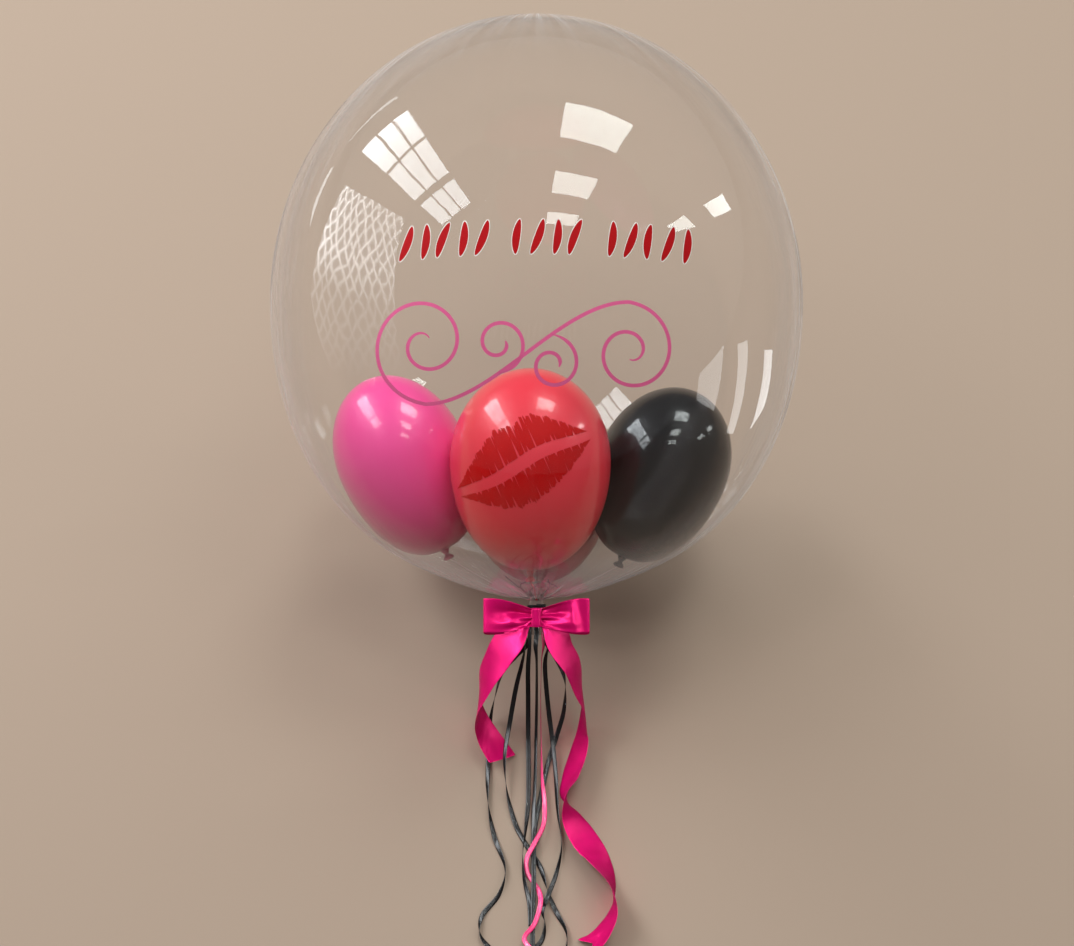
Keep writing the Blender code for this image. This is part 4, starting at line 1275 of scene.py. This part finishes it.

# %% [markdown]
# The tails leave the knot gathered, open to their full width within a few centimetres, and turn over
# as they fall, so the eye sees now the bright face and now the darker back. Their cut ends differ:
# the left is cut square across, the right has a shallow notch.

# %% Tails
TAIL_ROUTES = {
    "left": [
        (-0.002, 0.012, 0.0150, 5), (-0.013, 0.019, 0.0150, 12), (-0.022, 0.029, 0.0140, 22),
        (-0.033, 0.043, 0.0135, 32), (-0.043, 0.059, 0.0125, 40), (-0.055, 0.081, 0.0105, 58),
        (-0.062, 0.108, 0.0100, 90), (-0.060, 0.128, 0.0120, 115), (-0.051, 0.147, 0.0125, 130),
        (-0.038, 0.166, 0.0125, 135)],
    "right": [
        (0.001, 0.012, 0.0150, -5), (0.010, 0.018, 0.0155, -16), (0.018, 0.027, 0.0145, -32),
        (0.028, 0.047, 0.0135, -48), (0.039, 0.066, 0.0120, -58), (0.046, 0.089, 0.0100, -72),
        (0.051, 0.112, 0.0095, -92), (0.050, 0.138, 0.0090, -106), (0.045, 0.162, 0.0120, -116),
        (0.037, 0.186, 0.0140, -114), (0.0315, 0.206, 0.0150, -98), (0.038, 0.227, 0.0110, -60),
        (0.051, 0.248, 0.0100, -46), (0.065, 0.267, 0.0120, -57), (0.076, 0.288, 0.0150, -76),
        (0.080, 0.306, 0.0165, -92), (0.078, 0.322, 0.0150, -103), (0.070, 0.336, 0.0140, -108),
        (0.060, 0.346, 0.0140, -112), (0.049, 0.352, 0.0140, -113)],
}
TAIL_COLUMNS = 13


def make_tail(label, route_points, cut):
    """One tail of the bow as a sheet. cut gives how much shorter the ribbon is at v."""
    route, length = smooth_route(route_points, 0.003)
    shaped = lift_edges(route, SATIN_WIDTH / 2)
    rows, travelled = [], 0.0
    for i, (spot, tangent, across) in enumerate(shaped):
        if i:
            travelled += (spot - shaped[i - 1][0]).length
        open_share = min(1.0, travelled / (SATIN_WIDTH * 1.1))
        half = hermite(KNOT_WIDTH * 0.40, SATIN_WIDTH / 2, 0.0, 0.0, open_share)
        normal = across.cross(tangent).normalized()
        near_end = max(0.0, 1 - (length - travelled) / 0.03)
        row = []
        for k in range(TAIL_COLUMNS):
            v = -1 + 2 * k / (TAIL_COLUMNS - 1)
            fold = (1 - ease(open_share)) * 0.0016 * math.cos(math.pi * 2.0 * v)
            cup = 0.0007 * (v * v - 0.4)
            row.append(spot + across * half * v + normal * (fold + cup) - tangent * cut(v) * near_end)
        rows.append(row)
    mesh = mesh_from_rows(label, rows, uv=lambda i, k: (k / (TAIL_COLUMNS - 1) * SATIN_WIDTH, i * 0.003))
    made = piece(label, mesh, SATIN, upright=False)
    thicken(made, SATIN_THICKNESS)
    soften(made)
    print(label, "is", round(length * 1000), "mm long")
    return made


left_tail = make_tail("bow_left_tail", TAIL_ROUTES["left"], lambda v: -0.003)
right_tail = make_tail("bow_right_tail", TAIL_ROUTES["right"], lambda v: 0.010 * (1 - abs(v)))

# %% [markdown]
# The room is what clear film shows: it has hardly any colour of its own, and is seen by what it
# mirrors. A whole room would be slow to build, so each bright thing in it is a glowing card. To know
# where a card must stand, a line of sight is followed from the camera to the film and mirrored there.
# So each card is given by the corners at which it is seen, in metres right of and above the view's
# centre, measured where the balloon's axis is.

# %% Finding a card's place
CAMERA_AT = Vector((CAMERA_ACROSS, -CAMERA_DISTANCE, -AIM_DROP))


def outside_film(point):
    """How far a point in the balloon's frame is outside the film, roughly."""
    return math.hypot(point.x, point.y) - skin_radius_at(point.z)


def mirrored_line(right, up):
    """Where a line of sight meets the film, and its mirrored direction, in the balloon's frame."""
    sight = (Vector((CAMERA_ACROSS + right, 0.0, -AIM_DROP + up)) - CAMERA_AT).normalized()
    travelled = CAMERA_DISTANCE - 0.45
    for _ in range(80):
        travelled += 0.6 * outside_film(CAMERA_AT + sight * travelled)
    spot = CAMERA_AT + sight * travelled
    step = 0.0005
    normal = Vector([outside_film(spot + axis * step) - outside_film(spot - axis * step)
                     for axis in (Vector((1, 0, 0)), Vector((0, 1, 0)), Vector((0, 0, 1)))]).normalized()
    return spot, sight - 2 * sight.dot(normal) * normal


def card_corner(right, up, distance):
    """World point of a card's corner that is seen mirrored at (right, up)."""
    spot, direction = mirrored_line(right, up)
    return UPRIGHT @ (spot + direction * distance)


def card_material(name, radiance, colour, seen_through=True):
    """A glowing card. Where seen_through is off, it can't be seen through the film, only mirrored."""
    made = bpy.data.materials.new(name)
    made.use_nodes = True
    tree = made.node_tree
    tree.nodes.remove(tree.nodes["Principled BSDF"])
    glow = add_node(tree, "Emission", {"Color": (*colour, 1.0), "Strength": radiance})
    look = glow.outputs["Emission"]
    if not seen_through:
        look = shader_mix(tree, ray_is(tree, "Transmission"), look, shader_of(tree, "BsdfTransparent"))
        made.cycles.emission_sampling = "NONE"
    show(tree, look)
    return made, tree, glow


def card(name, corners, finish, lights_the_room=False):
    """A card from world corners, in order round its edge."""
    mesh = bpy.data.meshes.new(name)
    mesh.from_pydata(corners, [], [tuple(range(len(corners)))])
    layer = mesh.uv_layers.new(name="UVMap")
    for loop, uv in zip(layer.data, ((0, 1), (1, 1), (1, 0), (0, 0))):
        loop.uv = uv
    mesh.materials.append(finish)
    made = bpy.data.objects.new(name, mesh)
    bpy.context.scene.collection.objects.link(made)
    made.visible_camera = False
    made.visible_shadow = False
    made.visible_diffuse = lights_the_room
    return made


# %% [markdown]
# The ceiling panels and the window are high up, and they light the room too. A window reads as one by
# its bars, so it is nine panes with gaps between them.

# %% Ceiling panels and window
PANEL_DISTANCE = 3.4
PANELS = (
    ((0.0310, 0.3936), (0.1008, 0.3689), (0.0833, 0.3400), (0.0245, 0.3555)),
    ((0.0186, 0.3203), (0.0638, 0.3118), (0.0525, 0.2914), (0.0149, 0.2970)),
    ((0.0114, 0.2772), (0.0422, 0.2734), (0.0403, 0.2613), (0.0095, 0.2634)),
    ((0.1773, 0.2844), (0.1959, 0.2949), (0.2053, 0.2785), (0.1887, 0.2708)),
    ((0.1367, 0.2608), (0.1560, 0.2734), (0.1689, 0.2605), (0.1470, 0.2541)),
)
PANEL_GLOW = card_material("panel_glow", 10.5, (0.93, 1.0, 0.98))[0]
for n, corners in enumerate(PANELS):
    card(f"panel_{n}", [card_corner(*corner, PANEL_DISTANCE) for corner in corners], PANEL_GLOW, True)

WINDOW_CORNERS = ((-0.1399, 0.3827), (-0.1841, 0.3413), (-0.1007, 0.2640), (-0.0716, 0.2873))
WINDOW_GLOW = card_material("window_glow", 11.0, (0.90, 0.96, 1.0))[0]
top, left, bottom, right = [card_corner(*corner, PANEL_DISTANCE) for corner in WINDOW_CORNERS]
ACROSS_PANES = ((0.0, 0.295), (0.34, 0.63), (0.675, 1.0))
ALONG_PANES = ((0.0, 0.355), (0.38, 0.70), (0.76, 1.0))


def on_window(a, b):
    """World point on the window, a across from top to left, b along towards its far end."""
    return top.lerp(left, a).lerp(right.lerp(bottom, a), b)


for i, (a0, a1) in enumerate(ACROSS_PANES):
    for k, (b0, b1) in enumerate(ALONG_PANES):
        pane = [on_window(a0, b0), on_window(a1, b0), on_window(a1, b1), on_window(a0, b1)]
        card(f"window_pane_{i}_{k}", pane, WINDOW_GLOW, True)

# %% [markdown]
# Lower down stand a net curtain on the left and a bright doorway on the right. They are only for the
# film to mirror: they light nothing, and can't be seen through the film from the other side.

# %% Net curtain and doorway
NET_MESHES = 9.0                     # thread crossings per card width
NET_BRIGHT = 11.0
NET_HAZE = 2.6


def net_material():
    """A glowing net: diamond meshes that loosen and fade towards the hem."""
    made, tree, glow = card_material("net_glow", 1.0, (0.95, 0.97, 1.0), False)
    where = uv_map(tree)
    waves = add_node(tree, "TexNoise", {"Vector": where, "Scale": 6.0}).outputs["Color"]
    bent = add_node(tree, "VectorMath", {0: waves, 1: (0.10, 0.10, 0.0), 2: where},
                    operation="MULTIPLY_ADD").outputs["Vector"]
    spot = parts_of(tree, bent)
    threads = []
    for slope in (0.9, -0.9):
        across = math_value(tree, "ADD", spot["X"], math_value(tree, "MULTIPLY", spot["Y"], slope))
        swing = math_value(tree, "SINE", math_value(tree, "MULTIPLY", across, NET_MESHES * math.pi))
        threads.append(math_value(tree, "POWER", math_value(tree, "ABSOLUTE", swing), 9.0))
    net = math_value(tree, "MULTIPLY", math_value(tree, "MAXIMUM", *threads), NET_BRIGHT)
    fade = colour_ramp(tree, parts_of(tree, where)["Y"], [(0.0, 0.0), (0.42, 0.22), (0.62, 1.0)])
    strength = math_value(tree, "MULTIPLY", math_value(tree, "ADD", net, NET_HAZE), fade)
    tree.links.new(strength, glow.inputs["Strength"])
    return made


NET_CORNERS = ((-0.2030, 0.3064), (-0.1400, 0.2700), (-0.1400, 0.1000), (-0.2360, 0.1150))
SIDE_DISTANCE = 1.6
card("net_curtain", [card_corner(*corner, SIDE_DISTANCE) for corner in NET_CORNERS], net_material())

DOORWAY = (
    ((0.1720, 0.1040), (0.1980, 0.1340), (0.1880, 0.0650), (0.1700, 0.0760)),
    ((0.2130, 0.1350), (0.2240, 0.1400), (0.2080, 0.0420), (0.2010, 0.0420)),
    ((0.2420, 0.1300), (0.2500, 0.1300), (0.2290, 0.0350), (0.2210, 0.0350)),
)
DOORWAY_DISTANCE = 0.55
DOORWAY_GLOW = card_material("doorway_glow", 6.0, (0.95, 0.98, 1.0), False)[0]
for n, corners in enumerate(DOORWAY):
    card(f"doorway_{n}", [card_corner(*corner, DOORWAY_DISTANCE) for corner in corners], DOORWAY_GLOW)

RIM_STREAKS = (
    ((-0.2190, 0.3210), (-0.2150, 0.3240), (-0.2480, 0.2160), (-0.2520, 0.2160)),
    ((-0.1990, 0.3510), (-0.1960, 0.3540), (-0.1480, 0.3960), (-0.1510, 0.3970)),
    ((0.2330, 0.2950), (0.2360, 0.2950), (0.2560, 0.2200), (0.2530, 0.2200)),
)
STREAK_GLOW = card_material("streak_glow", 4.5, (0.92, 0.97, 1.0), False)[0]
for n, corners in enumerate(RIM_STREAKS):
    card(f"rim_streak_{n}", [card_corner(*corner, SIDE_DISTANCE) for corner in corners], STREAK_GLOW)

# %% [markdown]
# Broad soft lights do the rest. A large one mirrored in the film would draw a pale square on it, so no
# finish mirrors them. The overhead light and the key light the film's haze too, and the rim light leaves
# the film out. Satin and ribbon need something long to mirror, so three tall strips shine on those alone.

# %% Soft lights
BUBBLE_CENTRE = UPRIGHT @ Vector((0.0, 0.0, RING_HEIGHT))
not_mirrored = bpy.data.collections.new("not_mirrored")
not_mirrored.objects.link(film)
not_mirrored.collection_objects[0].light_linking.link_state = "EXCLUDE"
ribbon_pieces = bpy.data.collections.new("ribbon_pieces")
for made in [row[0] for row in ribbons.values()] + [end_loop, end_knot, knot, wrap, left_loop, right_loop,
                                                    left_tail, right_tail]:
    ribbon_pieces.objects.link(made)


def room_direction(right, up, viewer):
    """World direction from parts across, up the balloon's axis and toward the viewer."""
    return (UPRIGHT.to_3x3() @ Vector((right, -viewer, up))).normalized()


def soft_light(name, direction, distance, size, radiance, colour, receivers=not_mirrored, mirrored=False):
    """A large area light that faces the bubble. It lights its receivers alone, or all where that is None."""
    data = bpy.data.lights.new(name, "AREA")
    data.shape = "RECTANGLE"
    data.size, data.size_y = size
    data.energy = radiance * math.pi * size[0] * size[1]
    data.color = colour
    made = bpy.data.objects.new(name, data)
    bpy.context.scene.collection.objects.link(made)
    made.location = BUBBLE_CENTRE + direction * distance
    made.rotation_mode = "QUATERNION"
    made.rotation_quaternion = (-direction).to_track_quat("-Z", "Y")
    made.visible_camera = False
    made.visible_transmission = False
    made.visible_glossy = mirrored
    made.light_linking.receiver_collection = receivers
    return made


soft_light("overhead", Vector((0.0, 0.05, 1.0)).normalized(), 4.2, (3.0, 3.0), 1.15, (1.0, 0.98, 0.96),
           None)
soft_light("left_key", room_direction(-0.62, 0.46, 0.64), 3.4, (2.0, 2.0), 2.4, (1.0, 0.99, 0.97),
           None)
soft_light("right_rim", room_direction(0.80, 0.10, 0.60), 3.4, (0.7, 1.6), 3.0, (1.0, 0.98, 0.95))
soft_light("left_strip", room_direction(-0.55, 0.35, 0.75), 3.0, (0.40, 1.6), 22.0, (1.0, 1.0, 1.0),
           ribbon_pieces, True)
soft_light("right_strip", room_direction(0.70, 0.20, 0.65), 3.0, (0.35, 1.6), 12.0, (1.0, 1.0, 1.0),
           ribbon_pieces, True)
soft_light("side_strip", room_direction(-0.94, 0.12, 0.26), 3.0, (0.50, 1.6), 7.0, (1.0, 1.0, 1.0),
           ribbon_pieces, True)

# %% [markdown]
# The floor is plain, pale and warm. It is a wide sheet with a soft, matt finish, so that nothing in it
# competes with the balloon, and it belongs to the stage and not to the part. Mirrored at full
# brightness, the floor in front of the balloon would veil the lower half of the film, so a mirrored ray
# sees it darker there. Under and behind the crown it stays pale for every ray, because that is what the
# film's rim shows.

# %% Floor and air
FLOOR_HALF = 9.0
NEAR_MIDDLE = (0.0, 0.40, 0.0)       # just behind the crown; the floor stays pale round this spot
NEAR_REACH = 0.50
FAR_REACH = 0.80


def floor_material():
    """Matt and pale, but a mirrored ray sees it darker away from the spot behind the crown."""
    made, tree, shader = new_material("pale_floor", {
        "Base Color": (0.400, 0.305, 0.240), "Roughness": 0.85, "Specular IOR Level": 0.0})
    where = add_node(tree, "TexCoord").outputs["Object"]
    reach = add_node(tree, "VectorMath", {0: where, 1: NEAR_MIDDLE}, operation="DISTANCE").outputs["Value"]
    far = add_node(tree, "MapRange", {"Value": reach, "From Min": NEAR_REACH, "From Max": FAR_REACH},
                   interpolation_type="SMOOTHSTEP").outputs["Result"]
    share = math_value(tree, "MULTIPLY", ray_is_mirrored(tree), far)
    dim = shader_of(tree, "BsdfDiffuse", (0.07, 0.055, 0.045))
    show(tree, shader_mix(tree, share, shader.outputs["BSDF"], dim))
    return made


floor_mesh = bpy.data.meshes.new("floor")
floor_corners = [(x * FLOOR_HALF, y * FLOOR_HALF, 0) for x, y in ((-1, -1), (1, -1), (1, 1), (-1, 1))]
floor_mesh.from_pydata(floor_corners, [], [(0, 1, 2, 3)])
floor_mesh.materials.append(floor_material())
floor = bpy.data.objects.new("floor", floor_mesh)
floor.location.z = -0.0002
bpy.context.scene.collection.objects.link(floor)

world = bpy.data.worlds.new("room")
world.use_nodes = True
world.node_tree.nodes["Background"].inputs["Color"].default_value = (0.80, 0.76, 0.72, 1.0)
world.node_tree.nodes["Background"].inputs["Strength"].default_value = 0.25
scene = bpy.context.scene
scene.world = world
scene.view_settings.view_transform = "Standard"
scene.cycles.use_denoising = True
scene.cycles.max_bounces = 8
scene.cycles.diffuse_bounces = 2
scene.cycles.glossy_bounces = 3
scene.cycles.transmission_bounces = 8
scene.cycles.transparent_max_bounces = 10


bpy.context.view_layer.update()
